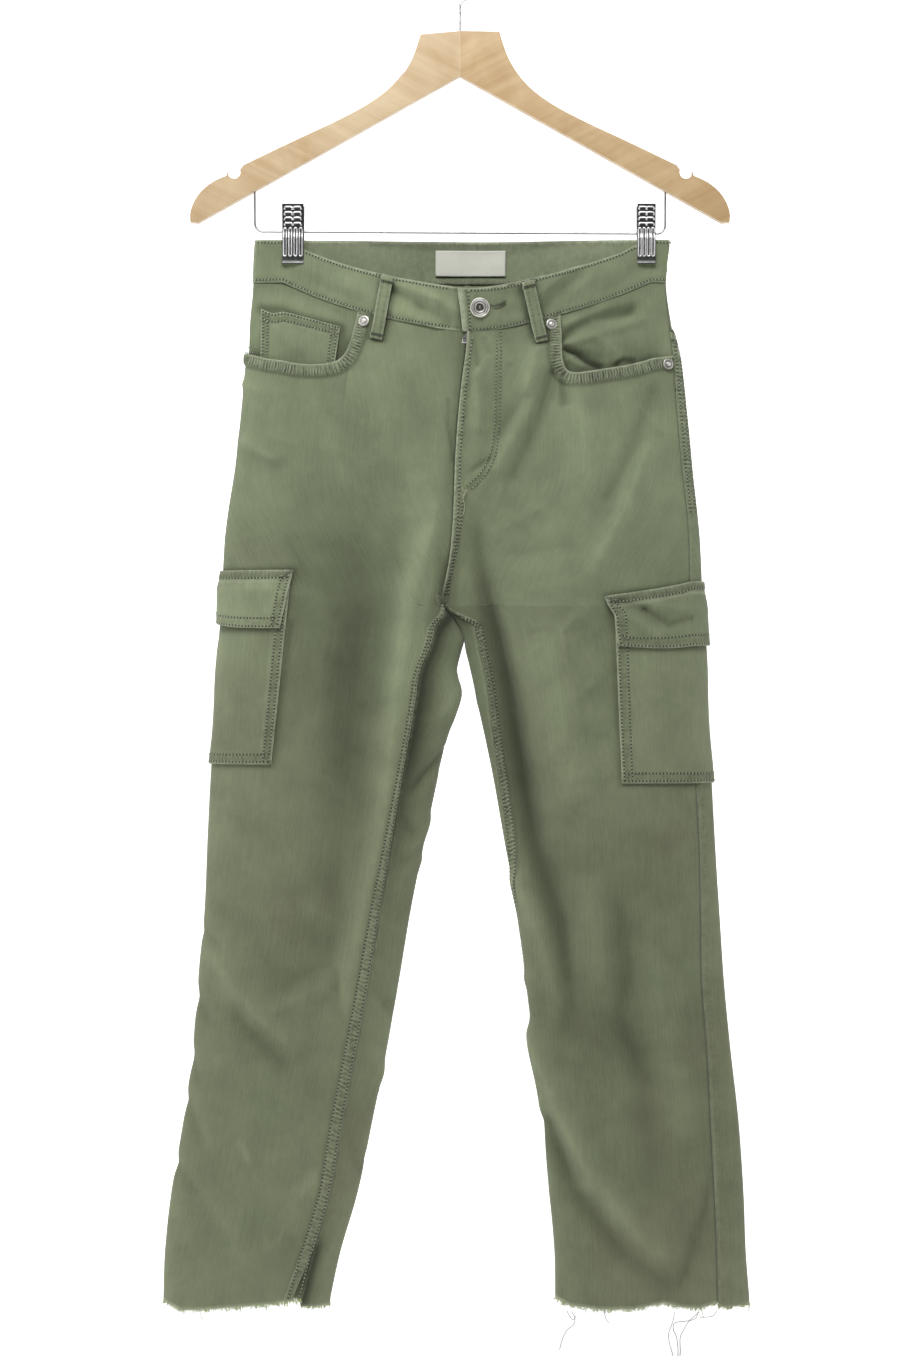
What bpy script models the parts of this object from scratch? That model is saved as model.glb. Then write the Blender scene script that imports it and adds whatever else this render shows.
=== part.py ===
"""Cargo jeans clipped by the waistband to a wooden hanger.

Lengths below are millimetres; vertices are made in metres, +Z up, the front towards -Y. The origin is
the inside of the hook's crown, where a rail holds it. A "drop" is a distance below that point.
The cloth is one surface, addressed by side (-1 left, +1 right, seen from the front), t and drop:
t runs from 0 at the outseam to 1 at the centre front or inseam, and to -1 round the back.
Every piece of the garment is a patch of that surface, moved out or in by its place in the layers.
"""
import math

import bmesh
import bpy
from mathutils import Vector

MM = 0.001
GAP = 0.3
SEAM_GAP = GAP / 2

# Garment sizes
BAND_TOP = 251.0
BAND_MIDDLE = 269.0
BAND_LOW = 287.0
BLEND_TOP = 440.0
CROTCH = 562.0
HEM = 1150.0
FRAY_REACH = 6.0
WAIST_DIP = 41.0
DIP_HALF_WIDTH = 150.0
DIP_END = 460.0
PINCH_AT = 0.84
PINCH_HALF = 3.8
CLOTH = 1.1
BAND = 2.4
BAND_PROUD = 0.6

# drop, left and right reach, front and back depth, pinch, roundness, outseam insets left and
# right (on the front where positive), centre front
TORSO = (
    (251, 173.5, 177.0, 40, 15, 1.00, 6.0, -4, -1.0, 4.0),
    (287, 175.5, 175.5, 37, 16, 0.95, 5.0, -4, 0.5, 6.0),
    (320, 179.0, 180.0, 34, 19, 0.60, 3.6, -5, 2.5, 5.5),
    (355, 182.0, 190.0, 31, 23, 0.28, 3.0, -6, 9.0, 4.0),
    (400, 186.0, 195.5, 29, 26, 0.05, 2.7, -6, 11.0, 1.0),
    (440, 190.0, 199.0, 28, 28, 0.00, 2.6, -6, 11.0, -2.0),
    (500, 196.5, 203.0, 27, 28, 0.00, 2.5, -6, 9.5, -5.0),
    (562, 200.5, 206.0, 26, 27, 0.00, 2.5, -6, 11.0, -6.0),
)
# drop, outer and inner reach, front and back depth, outseam and inseam insets
LEGS = {
    -1: (
        (562, 200.5, -1.0, 26, 27, -6, 0.0),
        (576, 201.5, -0.3, 25, 26, -6, 20.0),
        (600, 203.5, 1.2, 25, 25, -6, 27.3),
        (640, 206.5, 4.5, 24, 24, -6, 33.0),
        (700, 211.5, 18.5, 23, 23, -6, 29.0),
        (760, 215.0, 31.0, 22, 22, -6, 26.5),
        (820, 218.0, 42.8, 21, 21, -6, 24.7),
        (880, 224.0, 53.0, 20, 20, -6, 24.2),
        (940, 229.5, 64.0, 20, 20, -6, 24.0),
        (1000, 237.3, 76.0, 20, 20, -6, 23.5),
        (1060, 246.5, 87.5, 20, 20, -6, 22.5),
        (1110, 250.8, 101.0, 20, 20, -6, 23.5),
        (1150, 251.3, 109.0, 20, 20, -6, 26.0),
    ),
    1: (
        (562, 206.0, 1.0, 26, 27, 11.0, 0.0),
        (576, 207.0, 2.4, 25, 26, 11.5, 7.5),
        (600, 208.0, 5.5, 25, 25, 12.0, 10.5),
        (640, 209.0, 13.5, 24, 24, 12.5, 9.5),
        (700, 213.5, 26.3, 23, 23, 14.0, 4.5),
        (760, 216.5, 37.0, 22, 22, 13.8, 2.0),
        (820, 219.5, 48.5, 21, 21, 15.3, -1.0),
        (880, 223.0, 56.5, 20, 20, 18.0, -4.0),
        (940, 229.0, 63.0, 20, 20, 19.5, -6.0),
        (1000, 236.3, 69.7, 20, 20, 24.0, -6.0),
        (1060, 241.0, 76.5, 20, 20, 25.5, -6.0),
        (1110, 243.0, 80.7, 20, 20, 25.5, -6.0),
        (1150, 246.0, 81.0, 20, 20, 27.5, -6.0),
    ),
}
LEG_ROUNDNESS = 2.4
# Largest folds of the front: side, x and drop at the start and the end, half width, height (a ridge
# where positive)
FOLDS = (
    (1, 16, 520, 45, 640, 13, -7),
    (1, 45, 640, 70, 760, 15, -8),
    (1, 70, 760, 92, 880, 14, -6),
    (1, 60, 930, 125, 1075, 15, 4),
    (1, 140, 820, 150, 1060, 20, -4),
    (-1, 20, 530, 46, 690, 12, 4),
    (-1, 46, 690, 62, 800, 12, 3),
)
# The same for the back
BACK_FOLDS = (
    (1, 30, 565, 70, 690, 14, -5),
    (1, 70, 690, 95, 850, 15, -4),
    (1, 190, 870, 120, 940, 12, 3),
    (1, 180, 900, 110, 975, 12, -3),
)
FOLD_TAPER = 0.16
# Pocket mouths, from the outseam to the waistband: x from the centre, drop before the waist's dip
MOUTH = {
    -1: ((190, 345), (156, 354), (131, 354), (107, 347), (98, 338), (92, 322), (88, 301), (85, 287)),
    1: ((190, 346), (152, 357), (131, 360), (110, 359), (98, 358), (92, 350), (88, 334), (84, 287)),
}
MOUTH_LEVEL = 340.0
MOUTH_BASE = 400.0
YOKE_SIDE, YOKE_CENTRE = 326.0, 350.0

# Columns of t shared by every piece that lies on the same cloth
FRONT_T = (0, 0.08, 0.17, 0.25, 0.33, 0.41, 0.49, 0.56, 0.61, 0.645, 0.67, 0.695, 0.74, 0.81, 0.9, 1)
BACK_T = tuple(-k / 11 for k in range(12))
BLEND_ROWS = 5
LEG_LEVELS = (562, 576, 600, 632, 670, 712, 756, 800, 845, 890, 935, 980, 1025, 1070, 1110, 1150)

COLOURS = {
    "twill": (0.195, 0.235, 0.130, 1.0),
    "twill_pale": (0.235, 0.275, 0.165, 1.0),
    "wood": (0.640, 0.470, 0.265, 1.0),
    "chrome": (0.620, 0.620, 0.610, 1.0),
    "wire": (0.450, 0.450, 0.440, 1.0),
    "antique_silver": (0.420, 0.410, 0.380, 1.0),
    "cream": (0.680, 0.700, 0.610, 1.0),
}
METALS = ("chrome", "wire", "antique_silver")


def clear_scene():
    for item in list(bpy.data.objects):
        bpy.data.objects.remove(item, do_unlink=True)


def material(name):
    """The one material of a finish, made when it is first asked for."""
    found = bpy.data.materials.get(name)
    if found:
        return found
    made = bpy.data.materials.new(name)
    made.use_nodes = True
    shader = made.node_tree.nodes["Principled BSDF"]
    shader.inputs["Base Color"].default_value = COLOURS[name]
    shader.inputs["Metallic"].default_value = 1.0 if name in METALS else 0.0
    shader.inputs["Roughness"].default_value = 0.3 if name in METALS else 0.85
    made.diffuse_color = COLOURS[name]
    return made


def finish(name, bm, finish_name, sharp_degrees=40):
    """Turns a bmesh in millimetres into the object of a piece."""
    bmesh.ops.recalc_face_normals(bm, faces=bm.faces)
    bmesh.ops.scale(bm, vec=(MM, MM, MM), verts=bm.verts)
    mesh = bpy.data.meshes.new(name)
    bm.to_mesh(mesh)
    bm.free()
    mesh.materials.append(material(finish_name))
    mesh.shade_smooth()
    mesh.set_sharp_from_angle(angle=math.radians(sharp_degrees))
    piece = bpy.data.objects.new(name, mesh)
    bpy.context.scene.collection.objects.link(piece)
    return piece


# ---- The cloth's surface ----

def row_at(table, drop):
    """A table's row at any drop, on smooth curves through its rows."""
    drop = min(max(drop, table[0][0]), table[-1][0])
    low = max(k for k in range(len(table) - 1) if table[k][0] <= drop)
    span = table[low + 1][0] - table[low][0]
    part = (drop - table[low][0]) / span

    def slope(k, column):
        before = max(k - 1, 0)
        after = min(k + 1, len(table) - 1)
        return (table[after][column] - table[before][column]) / (table[after][0] - table[before][0])

    row = []
    for column in range(1, len(table[0])):
        a, b = table[low][column], table[low + 1][column]
        rise_a, rise_b = slope(low, column) * span, slope(low + 1, column) * span
        cubic = (2 * part**3 - 3 * part**2 + 1) * a + (part**3 - 2 * part**2 + part) * rise_a
        row.append(cubic + (3 * part**2 - 2 * part**3) * b + (part**3 - part**2) * rise_b)
    return row


def between(points, at):
    """Straight interpolation in pairs sorted from the largest first value to the smallest."""
    if at >= points[0][0]:
        return points[0][1]
    for (a, low), (b, high) in zip(points, points[1:]):
        if at >= b:
            return low + (high - low) * (a - at) / (a - b)
    return points[-1][1]


def ring(half, depths, pinch, roundness, angle):
    """Across and depth of a flattened ring: angle 0 at the outer edge, 90 degrees at the front."""
    across = math.cos(angle)
    front = math.sin(angle) >= 0
    depth = depths[0] if front else depths[1]
    inside = min(abs(across) / PINCH_AT, 1.0)
    shape = 1 - pinch + pinch * (1 - inside**2) ** 2
    reach = PINCH_HALF + (depth - PINCH_HALF) * shape
    closing = math.sqrt(max(0.0, 1 - abs(across) ** roundness))
    return half * across, reach * closing * (-1 if front else 1)


def inset_angle(inset, half):
    """The ring angle at a distance in from the outer edge, on the front where positive."""
    return math.copysign(math.acos(1 - min(abs(inset) / half, 1.9)), inset)


def torso_point(side, t, drop):
    left, right, front, back, pinch, roundness, seam_left, seam_right, centre = row_at(TORSO, drop)
    middle, half = (right - left) / 2, (right + left) / 2
    start = inset_angle(seam_right if side > 0 else seam_left, half)
    end = math.acos(side * (centre - middle) / half)
    if t < 0:
        end = -end
    across, depth = ring(half, (front, back), pinch, roundness, start + abs(t) * (end - start))
    return Vector((middle + side * across, depth, -drop))


def leg_point(side, t, drop):
    outer, inner, front, back, seam_out, seam_in = row_at(LEGS[side], drop)
    middle, half = (outer + inner) / 2, (outer - inner) / 2
    start = inset_angle(seam_out, half)
    end = math.copysign(math.pi, t) if t else math.pi
    angle = start + abs(t) * (end - start) - abs(t) ** 3 * inset_angle(seam_in, half)
    across, depth = ring(half, (front, back), 0, LEG_ROUNDNESS, angle)
    return Vector((side * (middle + across), depth, -drop))


def waist_dip(x, drop):
    """How far the front hangs below the back at the waist."""
    aside = min(abs(x) / DIP_HALF_WIDTH, 1.0)
    fade = min(max((DIP_END - drop) / (DIP_END - BAND_LOW), 0.0), 1.0) ** 1.5
    return WAIST_DIP * (1 - aside**1.8) * fade


def fold_height(folds, side, x, drop):
    """How far the folds stand out at a point: the highest ridge and the deepest trough."""
    ridge = trough = 0.0
    for fold_side, x0, drop0, x1, drop1, width, height in folds:
        if fold_side != side:
            continue
        along = Vector((x1 - x0, drop1 - drop0))
        to = Vector((abs(x) - x0, drop - drop0))
        part = min(max(to.dot(along) / along.length_squared, 0.0), 1.0)
        away = (to - along * part).length / width
        rise = height * math.exp(-away * away) * (0.55 + 0.45 * math.sin(math.pi * part))
        ridge, trough = max(ridge, rise), min(trough, rise)
    return ridge + trough


def cloth_point(side, t, drop):
    """The outside of the leg or torso cloth."""
    blend = min(max((drop - BLEND_TOP) / (CROTCH - BLEND_TOP), 0.0), 1.0)
    rounded = 1 - math.sqrt(1 - blend * blend)
    smooth = blend * blend * (3 - 2 * blend)
    weight = smooth + (rounded - smooth) * t**4
    if weight == 0:
        point = torso_point(side, t, drop)
    elif weight == 1:
        point = leg_point(side, t, drop)
    else:
        point = torso_point(side, t, drop).lerp(leg_point(side, t, drop), weight)
    edge = min(abs(t), 1 - abs(t), FOLD_TAPER) / FOLD_TAPER
    rise = fold_height(FOLDS if t > 0 else BACK_FOLDS, side, point.x, drop) * edge * edge * (3 - 2 * edge)
    point.y -= rise if t > 0 else -rise
    if point.y < 0:
        point.z -= waist_dip(point.x, drop) * min(1.0, -point.y / PINCH_HALF)
    return point


def cloth_normal(side, t, drop):
    """The outward normal there, from two small steps on the surface."""
    step = 1e-3 if t < 0.999 and t > -0.999 else -math.copysign(1e-3, t)
    fall = -0.4 if drop < CROTCH else 0.4
    here = cloth_point(side, t, drop)
    across = (cloth_point(side, t + step, drop) - here) / step
    down = (cloth_point(side, t, drop + fall) - here) / fall
    return across.cross(down).normalized() * side


BLEND_LEVELS = tuple(
    BLEND_TOP + (CROTCH - BLEND_TOP) * math.sin(k / BLEND_ROWS * math.pi / 2) for k in range(BLEND_ROWS)
)
LEVELS = (BAND_TOP, BAND_MIDDLE, BAND_LOW, 312.0, 338.0, 368.0, MOUTH_BASE) + BLEND_LEVELS + LEG_LEVELS


def cell(lines, at):
    """The pair of grid lines round a value, and how far it lies between them."""
    for a, b in zip(lines, lines[1:]):
        if min(a, b) <= at <= max(a, b):
            return a, b, (at - a) / (b - a)
    return lines[-2], lines[-1], 1.0


def facet(side, t, drop, out=0.0):
    """A point on the flat facets that the panels are built from, moved out along the normal."""
    t0, t1, across = cell(FRONT_T if t >= 0 else BACK_T, t)
    drop0, drop1, down = cell(LEVELS, drop)

    def corner(a, b):
        return cloth_point(side, a, b) + cloth_normal(side, a, b) * out

    top = corner(t0, drop0).lerp(corner(t1, drop0), across)
    low = corner(t0, drop1).lerp(corner(t1, drop1), across)
    return top.lerp(low, down)


def t_at(side, x, drop, front=True):
    """The t of a place on the front or the back, from its distance across."""
    near, far = (0.0, 1.0) if front else (0.0, -1.0)
    for _ in range(30):
        middle = (near + far) / 2
        if side * facet(side, middle, drop).x > side * x:
            near = middle
        else:
            far = middle
    return (near + far) / 2


def lines_between(lines, low, high, room=0.012):
    """Both ends, and the shared grid lines that lie clear between them."""
    inner = sorted(k for k in lines if low + room < k < high - room)
    return [low] + inner + [high]


# ---- Cloth pieces ----

def shell(name, columns, rows, place, finish_name="twill", joined=False):
    """A closed wall: a grid of columns and rows, whose place gives its outside and inside points."""
    bm = bmesh.new()
    bmesh.ops.create_grid(bm, x_segments=columns - 1, y_segments=rows - 1, size=1.0)
    inner = {}
    tag = bm.verts.layers.int.new("tag")
    for vert in bm.verts:
        column = round((vert.co.x + 1) / 2 * (columns - 1))
        row = round((1 - vert.co.y) / 2 * (rows - 1))
        outside, inside = place(column, row)
        vert[tag] = column * rows + row
        inner[vert[tag]] = inside
        vert.co = outside
    if joined:
        bmesh.ops.remove_doubles(bm, verts=bm.verts, dist=0.01)
    extruded = bmesh.ops.extrude_face_region(bm, geom=bm.faces[:])
    for item in extruded["geom"]:
        if isinstance(item, bmesh.types.BMVert):
            item.co = inner[item[tag]]
    return finish(name, bm, finish_name)


def layered(side, t, drop, outside, inside):
    return facet(side, t, drop, outside), facet(side, t, drop, inside)


def mouth_drop(side, t):
    """The drop of the pocket mouth at a column, from its distance across."""
    drop = MOUTH_LEVEL
    for _ in range(4):
        drop = between(MOUTH[side], side * cloth_point(side, t, drop).x)
    return drop


def side_name(side):
    return "left" if side < 0 else "right"


# Half a seam gap at a panel's ends, as a part of t
OUTSEAM_INSET, INSEAM_INSET = 0.0022, 0.0015


def seam_inset(t, lines):
    """A column's t, half a seam gap in from the ends of its panel."""
    if t == 0:
        return OUTSEAM_INSET if lines is FRONT_T else -OUTSEAM_INSET
    if abs(t) == 1:
        return t - math.copysign(INSEAM_INSET, t)
    return t


TOP_ROWS = 5
YOKE_ROWS = 3


def front_panel(side):
    levels = LEVELS[LEVELS.index(MOUTH_BASE) + 1:]

    def place(column, row):
        t = seam_inset(FRONT_T[column], FRONT_T)
        if row < TOP_ROWS:
            top = max(mouth_drop(side, FRONT_T[column]), BAND_LOW + GAP)
            drop = top + (MOUTH_BASE - top) * row / (TOP_ROWS - 1)
            return [cloth_point(side, t, drop) + cloth_normal(side, t, drop) * out for out in (0, -CLOTH)]
        return layered(side, t, levels[row - TOP_ROWS], 0, -CLOTH)

    shell("front_" + side_name(side), len(FRONT_T), TOP_ROWS + len(levels), place)


def yoke_seam(t):
    """The drop of the yoke seam, deepest at the centre back."""
    return YOKE_SIDE + (YOKE_CENTRE - YOKE_SIDE) * abs(t)


def back_panel(side):
    levels = LEVELS[LEVELS.index(MOUTH_BASE):]

    def place(column, row):
        t = seam_inset(BACK_T[column], BACK_T)
        if row < YOKE_ROWS:
            top = yoke_seam(t) + GAP
            drop = top + (MOUTH_BASE - top) * row / YOKE_ROWS
            return [cloth_point(side, t, drop) + cloth_normal(side, t, drop) * out for out in (0, -CLOTH)]
        return layered(side, t, levels[row - YOKE_ROWS], 0, -CLOTH)

    shell("back_" + side_name(side), len(BACK_T), YOKE_ROWS + len(levels), place)


def yoke(side):
    def place(column, row):
        t = seam_inset(BACK_T[column], BACK_T)
        drop = (BAND_LOW + GAP, (BAND_LOW + yoke_seam(t)) / 2, yoke_seam(t) - SEAM_GAP)[row]
        return [cloth_point(side, t, drop) + cloth_normal(side, t, drop) * out for out in (0, -CLOTH)]

    shell("yoke_" + side_name(side), len(BACK_T), YOKE_ROWS, place)


# Where the waistband's underlap lies under the overlap, in mm from the centre front
UNDERLAP_STATIONS = (12, 22, 34)
UNDERLAP_DEPTH = BAND + 0.5
OVERLAP_REACH = 0.006


def waistband():
    """One band from the overlap's end round the right side and the back to the underlap's end."""
    stations = [(1, t) for t in reversed(FRONT_T)] + [(1, t) for t in BACK_T[1:]]
    stations += [(-1, t) for t in reversed(BACK_T[:-1])] + [(-1, t) for t in FRONT_T[1:]]
    under_t = [t_at(1, x, BAND_LOW) for x in UNDERLAP_STATIONS]
    stations += [(1, t) for t in under_t]
    drops = (BAND_TOP, BAND_MIDDLE, BAND_LOW)
    first_under = len(stations) - len(under_t) - 1

    def place(column, row):
        side, t = stations[column]
        out = BAND_PROUD
        if column >= first_under - 1:
            out -= UNDERLAP_DEPTH * (0.5 if column == first_under - 1 else 1.0)
        if column == 0:
            t -= OVERLAP_REACH
        return layered(side, t, drops[row], out, out - BAND)

    shell("waistband", len(stations), len(drops), place)


def patch(name, side, columns, drops, out, thick):
    """A piece on the cloth between two heights over it; columns may be a function of the row."""
    def place(column, row):
        t = columns(row)[column] if callable(columns) else columns[column]
        return layered(side, t, drops[row], out + thick, out)

    shell(name, len(columns(0) if callable(columns) else columns), len(drops), place)


FACING_DROPS = (BAND_LOW + GAP, 312.0, 338.0, 368.0, 380.0)
FACING_REACH = (165.0, 171.0, 178.0, 182.0, 184.0)
FACING_SINK = 5.0
FACING_OUT, FACING_EDGE_OUT, FACING_CLOTH = -3.0, -1.5, 0.9
COIN_OUT = -2.6


def facings():
    """The cloth that shows in the pocket mouths, sewn in at the outseam and the waistband."""
    for side in (-1, 1):
        end = t_at(side, side * 72, 340)
        starts = [t_at(side, side * x, drop) for x, drop in zip(FACING_REACH, FACING_DROPS)]
        inner = [t for t in FRONT_T if max(starts) + 0.02 < t < end - 0.01]

        def place(column, row):
            t = ([starts[row]] + inner + [end])[column]
            aside = side * cloth_point(side, t, FACING_DROPS[row]).x
            deep = min(1.0, (FACING_REACH[row] - aside) / FACING_SINK)
            out = FACING_EDGE_OUT + (FACING_OUT - FACING_EDGE_OUT) * deep
            return layered(side, t, FACING_DROPS[row], out, out - FACING_CLOTH)

        shell("facing_" + side_name(side), len(inner) + 2, len(FACING_DROPS), place)


def coin_pocket():
    columns = lines_between(FRONT_T, t_at(-1, -165.5, 312), t_at(-1, -100, 330))
    patch("coin_pocket", -1, columns, (309.0, 312.0, 338.0, 368.0, 376.0), COIN_OUT, 0.8)


# Cargo pockets: side to (front edge x at the top and the foot, back edge x, top, foot)
CARGO = {
    -1: ((-143, -159), -140, 546.0, 696.0),
    1: ((130, 136.5), 158, 562.0, 712.0),
}
# Flaps: the same, and how much lower the front edge of the top hangs
FLAPS = {
    -1: ((-140, -151), -137, 532.0, 580.0, 0.0),
    1: ((123, 133.5), 155, 541.0, 596.0, 13.0),
}
POCKET_CLOTH, POCKET_CLEAR = 1.3, 0.7
FLAP_CLOTH, FLAP_CLEAR = 1.4, 0.6


def wrapped_columns(side, spec, drops):
    """Columns from a pocket's back edge round the outseam to its front edge, for each row."""
    (x_top, x_foot), x_back, top, foot = spec[:4]
    back = t_at(side, x_back, (top + foot) / 2, False)
    edges = [t_at(side, x_top + (x_foot - x_top) * (drop - top) / (foot - top), drop) for drop in drops]
    inner = [t for t in FRONT_T if t < min(edges) - 0.02]

    def columns(row):
        return lines_between(BACK_T, back, 0)[:-1] + inner + [(inner[-1] + edges[row]) / 2, edges[row]]

    return columns


def cargo_pockets():
    for side in (-1, 1):
        spec = CARGO[side]
        drops = lines_between(LEVELS, spec[2], spec[3], room=5)
        columns = wrapped_columns(side, spec, drops)
        patch("cargo_pocket_" + side_name(side), side, columns, drops, POCKET_CLEAR, POCKET_CLOTH)


def cargo_flaps():
    """Each flap is sewn down along its top and hangs over the pocket's mouth."""
    clear = POCKET_CLEAR + POCKET_CLOTH + FLAP_CLEAR
    for side in (-1, 1):
        spec = FLAPS[side]
        slope, mouth = spec[4], CARGO[side][2] - 3.0
        drops = sorted(set(lines_between(LEVELS, spec[2], spec[3], room=5) + [mouth]))
        columns = wrapped_columns(side, spec, drops)

        def place(column, row):
            t = columns(row)[column]
            foot = (drops[row] - spec[2]) / (spec[3] - spec[2])
            drop = drops[row] + slope * max(t, 0) / columns(row)[-1] * (1 - foot)
            out = POCKET_CLEAR + (clear - POCKET_CLEAR) * min((drop - spec[2]) / (mouth - spec[2]), 1.0)
            return layered(side, t, drop, out + FLAP_CLOTH, out)

        shell("cargo_flap_" + side_name(side), len(columns(0)), len(drops), place)


# Belt loops: name, side, x at the top and at the foot, front or back
LOOPS = (
    ("loop_front_left", -1, -62.0, -70.5, True),
    ("loop_front_right", 1, 59.0, 69.5, True),
    ("loop_back_left", -1, -92.0, -92.0, False),
    ("loop_back_right", 1, 92.0, 92.0, False),
)
LOOP_WIDTH, LOOP_FOOT, LOOP_CLOTH = 10.4, 309.0, 1.5


LOOP_DROPS = (BAND_TOP + 1.5, BAND_MIDDLE, BAND_LOW - 0.5, BAND_LOW + 5, LOOP_FOOT)
LOOP_OUTS = (BAND_PROUD + GAP,) * 4 + (0.5,)


def belt_loops():
    for name, side, x_top, x_foot, front in LOOPS:
        def place(column, row):
            drop = LOOP_DROPS[row]
            x = x_top + (x_foot - x_top) * (drop - BAND_TOP) / (LOOP_FOOT - BAND_TOP)
            t = t_at(side, x + side * (0.5 - column / 2) * LOOP_WIDTH, drop, front)
            return layered(side, t, drop, LOOP_OUTS[row] + LOOP_CLOTH, LOOP_OUTS[row])

        shell(name, 3, len(LOOP_DROPS), place)

    def centre(column, row):
        side = -1 if column < 1 else 1
        drop = LOOP_DROPS[row]
        middle = cloth_point(1, -1, drop).x
        t = -1.0 if column == 1 else t_at(side, middle + side * LOOP_WIDTH / 2, drop, False)
        return layered(side, t, drop, LOOP_OUTS[row] + LOOP_CLOTH, LOOP_OUTS[row])

    shell("loop_back_centre", 3, len(LOOP_DROPS), centre)


def hem_frays():
    """Rings of the fringe's reach below the raw hems."""
    stations = list(FRONT_T) + [t for t in reversed(BACK_T)]
    for side in (-1, 1):
        def place(column, row):
            point = cloth_point(side, stations[column], HEM)
            normal = cloth_normal(side, stations[column], HEM)
            fall = Vector((0, 0, -GAP - (FRAY_REACH - GAP) * row))
            return point + normal * 0.5 + fall, point - normal * 1.7 + fall

        shell("fray_" + side_name(side), len(stations), 2, place, "twill_pale", joined=True)


# ---- Trims ----

def disc(name, centre, axis, profile, finish_name, steps=24):
    """A turned piece from a profile of (radius, height) that starts and ends on its axis."""
    bm = bmesh.new()
    line = [bm.verts.new((radius, 0, height)) for radius, height in profile]
    edges = [bm.edges.new(pair) for pair in zip(line, line[1:])]
    bmesh.ops.spin(bm, geom=line + edges, cent=(0, 0, 0), axis=(0, 0, 1), dvec=(0, 0, 0),
                   angle=2 * math.pi, steps=steps, use_merge=True)
    bmesh.ops.remove_doubles(bm, verts=bm.verts, dist=1e-4)
    turn = Vector((0, 0, 1)).rotation_difference(axis)
    bmesh.ops.rotate(bm, cent=(0, 0, 0), matrix=turn.to_matrix(), verts=bm.verts)
    bmesh.ops.translate(bm, vec=centre, verts=bm.verts)
    return finish(name, bm, finish_name)


BUTTON_X = 17.3
RIVETS = (
    ("rivet_front_left", -1, -80.5, 297.0),
    ("rivet_front_right", 1, 78.5, 297.0),
    ("rivet_side_left", -1, None, 352.0),
    ("rivet_side_right", 1, None, 357.0),
)


def button_and_rivets():
    t = t_at(1, BUTTON_X, BAND_MIDDLE)
    normal = cloth_normal(1, t, BAND_MIDDLE)
    seat = facet(1, t, BAND_MIDDLE, BAND_PROUD + 0.4)
    profile = ((0, 0), (6.4, 0), (8.3, 1.4), (7.6, 2.9), (5.6, 2.6), (4.2, 1.9), (1.6, 1.7), (0, 1.2))
    disc("button", seat, normal, profile, "antique_silver", 28)
    cap = ((0, 0), (4.0, 0), (4.9, 0.5), (3.9, 1.3), (2.2, 1.2), (1.7, 1.9), (0, 2.2))
    for name, side, x, drop in RIVETS:
        t = t_at(side, x, drop) if x else 0.13
        seat = facet(side, t, drop, 0.4)
        disc(name, seat, cloth_normal(side, t, drop), cap, "antique_silver", 20)


# Behind the fly edge: half width, drops of the rows, thickness
FLY_TAPE = (9.0, (304.0, 312.0, 338.0, 368.0, 400.0, 428.0), 1.0)
ZIP_SLIDER = (4.0, (290.0, 301.0), 2.5)
FLY_SINK = CLOTH + 0.5


def behind_fly(name, spec, finish_name):
    half, rows, thick = spec

    def place(column, row):
        side = -1 if column == 0 else 1
        edge = cloth_point(1, 1, rows[row]).x + side * half
        t = 1.0 if column == 1 else t_at(side, edge, rows[row])
        return layered(side, t, rows[row], -FLY_SINK, -FLY_SINK - thick)

    shell(name, 3, len(rows), place, finish_name)


# Woven label inside the back of the waistband: reach to the left and right of the centre, drops
LABEL_REACH = {-1: -21.0, 1: 39.0}
LABEL_DROPS = (257.0, BAND_MIDDLE, 280.0)
LABEL_CLOTH = 0.7


def label():
    def place(column, row):
        side = -1 if column == 0 else 1
        drop = LABEL_DROPS[row]
        t = -1.0 if column == 1 else t_at(side, LABEL_REACH[side], drop, False)
        inside = BAND_PROUD - BAND - 0.4
        return layered(side, t, drop, inside, inside - LABEL_CLOTH)

    shell("label", 3, len(LABEL_DROPS), place, "cream")


# ---- Hanger ----

WOOD_HALF = 6.2
NECK_TOP, NECK_LOW = 74.0, 112.0
HANGER_TIP_X, HANGER_TIP_DROP = 228.5, 237.0
NECK = ((33.5, 74.5), (38.0, 89.0), (43.5, 101.5), (51.5, 113.5), (63.0, 125.3))
SHOULDER = ((80.5, 137.5), (105.0, 150.5), (144.5, 169.0), (186.5, 189.0))
NOTCH_X, NOTCH_DROP, NOTCH_RADIUS = 191.7, 194.0, 5.4
END_CAP = ((198.0, 197.0), (209.5, 202.0), (219.5, 210.0), (226.0, 219.5), (229.2, 229.0))
UPRIGHT_X = 174.4
BAR_RADIUS, BAR_BEND = 1.0, 6.8
BAR_DROP_LEFT, BAR_DROP_RIGHT = 243.6, 245.4
WOOD_LOW_END = (222.0, 236.0)


def wood_outline():
    """One arm seen from the front: neck, shoulder, notch, rounded end and straight underside."""
    turn = [math.radians(200 - 22 * k) for k in range(10)]
    notch = [(NOTCH_X - NOTCH_RADIUS * math.cos(a), NOTCH_DROP - NOTCH_RADIUS * math.sin(a))
             for a in turn if NOTCH_DROP - NOTCH_RADIUS * math.sin(a) > 191.5]
    notch.sort()
    points = [(0.2, NECK_TOP)] + list(NECK + SHOULDER) + notch + list(END_CAP)
    points += [(HANGER_TIP_X, HANGER_TIP_DROP), WOOD_LOW_END, (0.2, NECK_LOW)]
    return points


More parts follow.
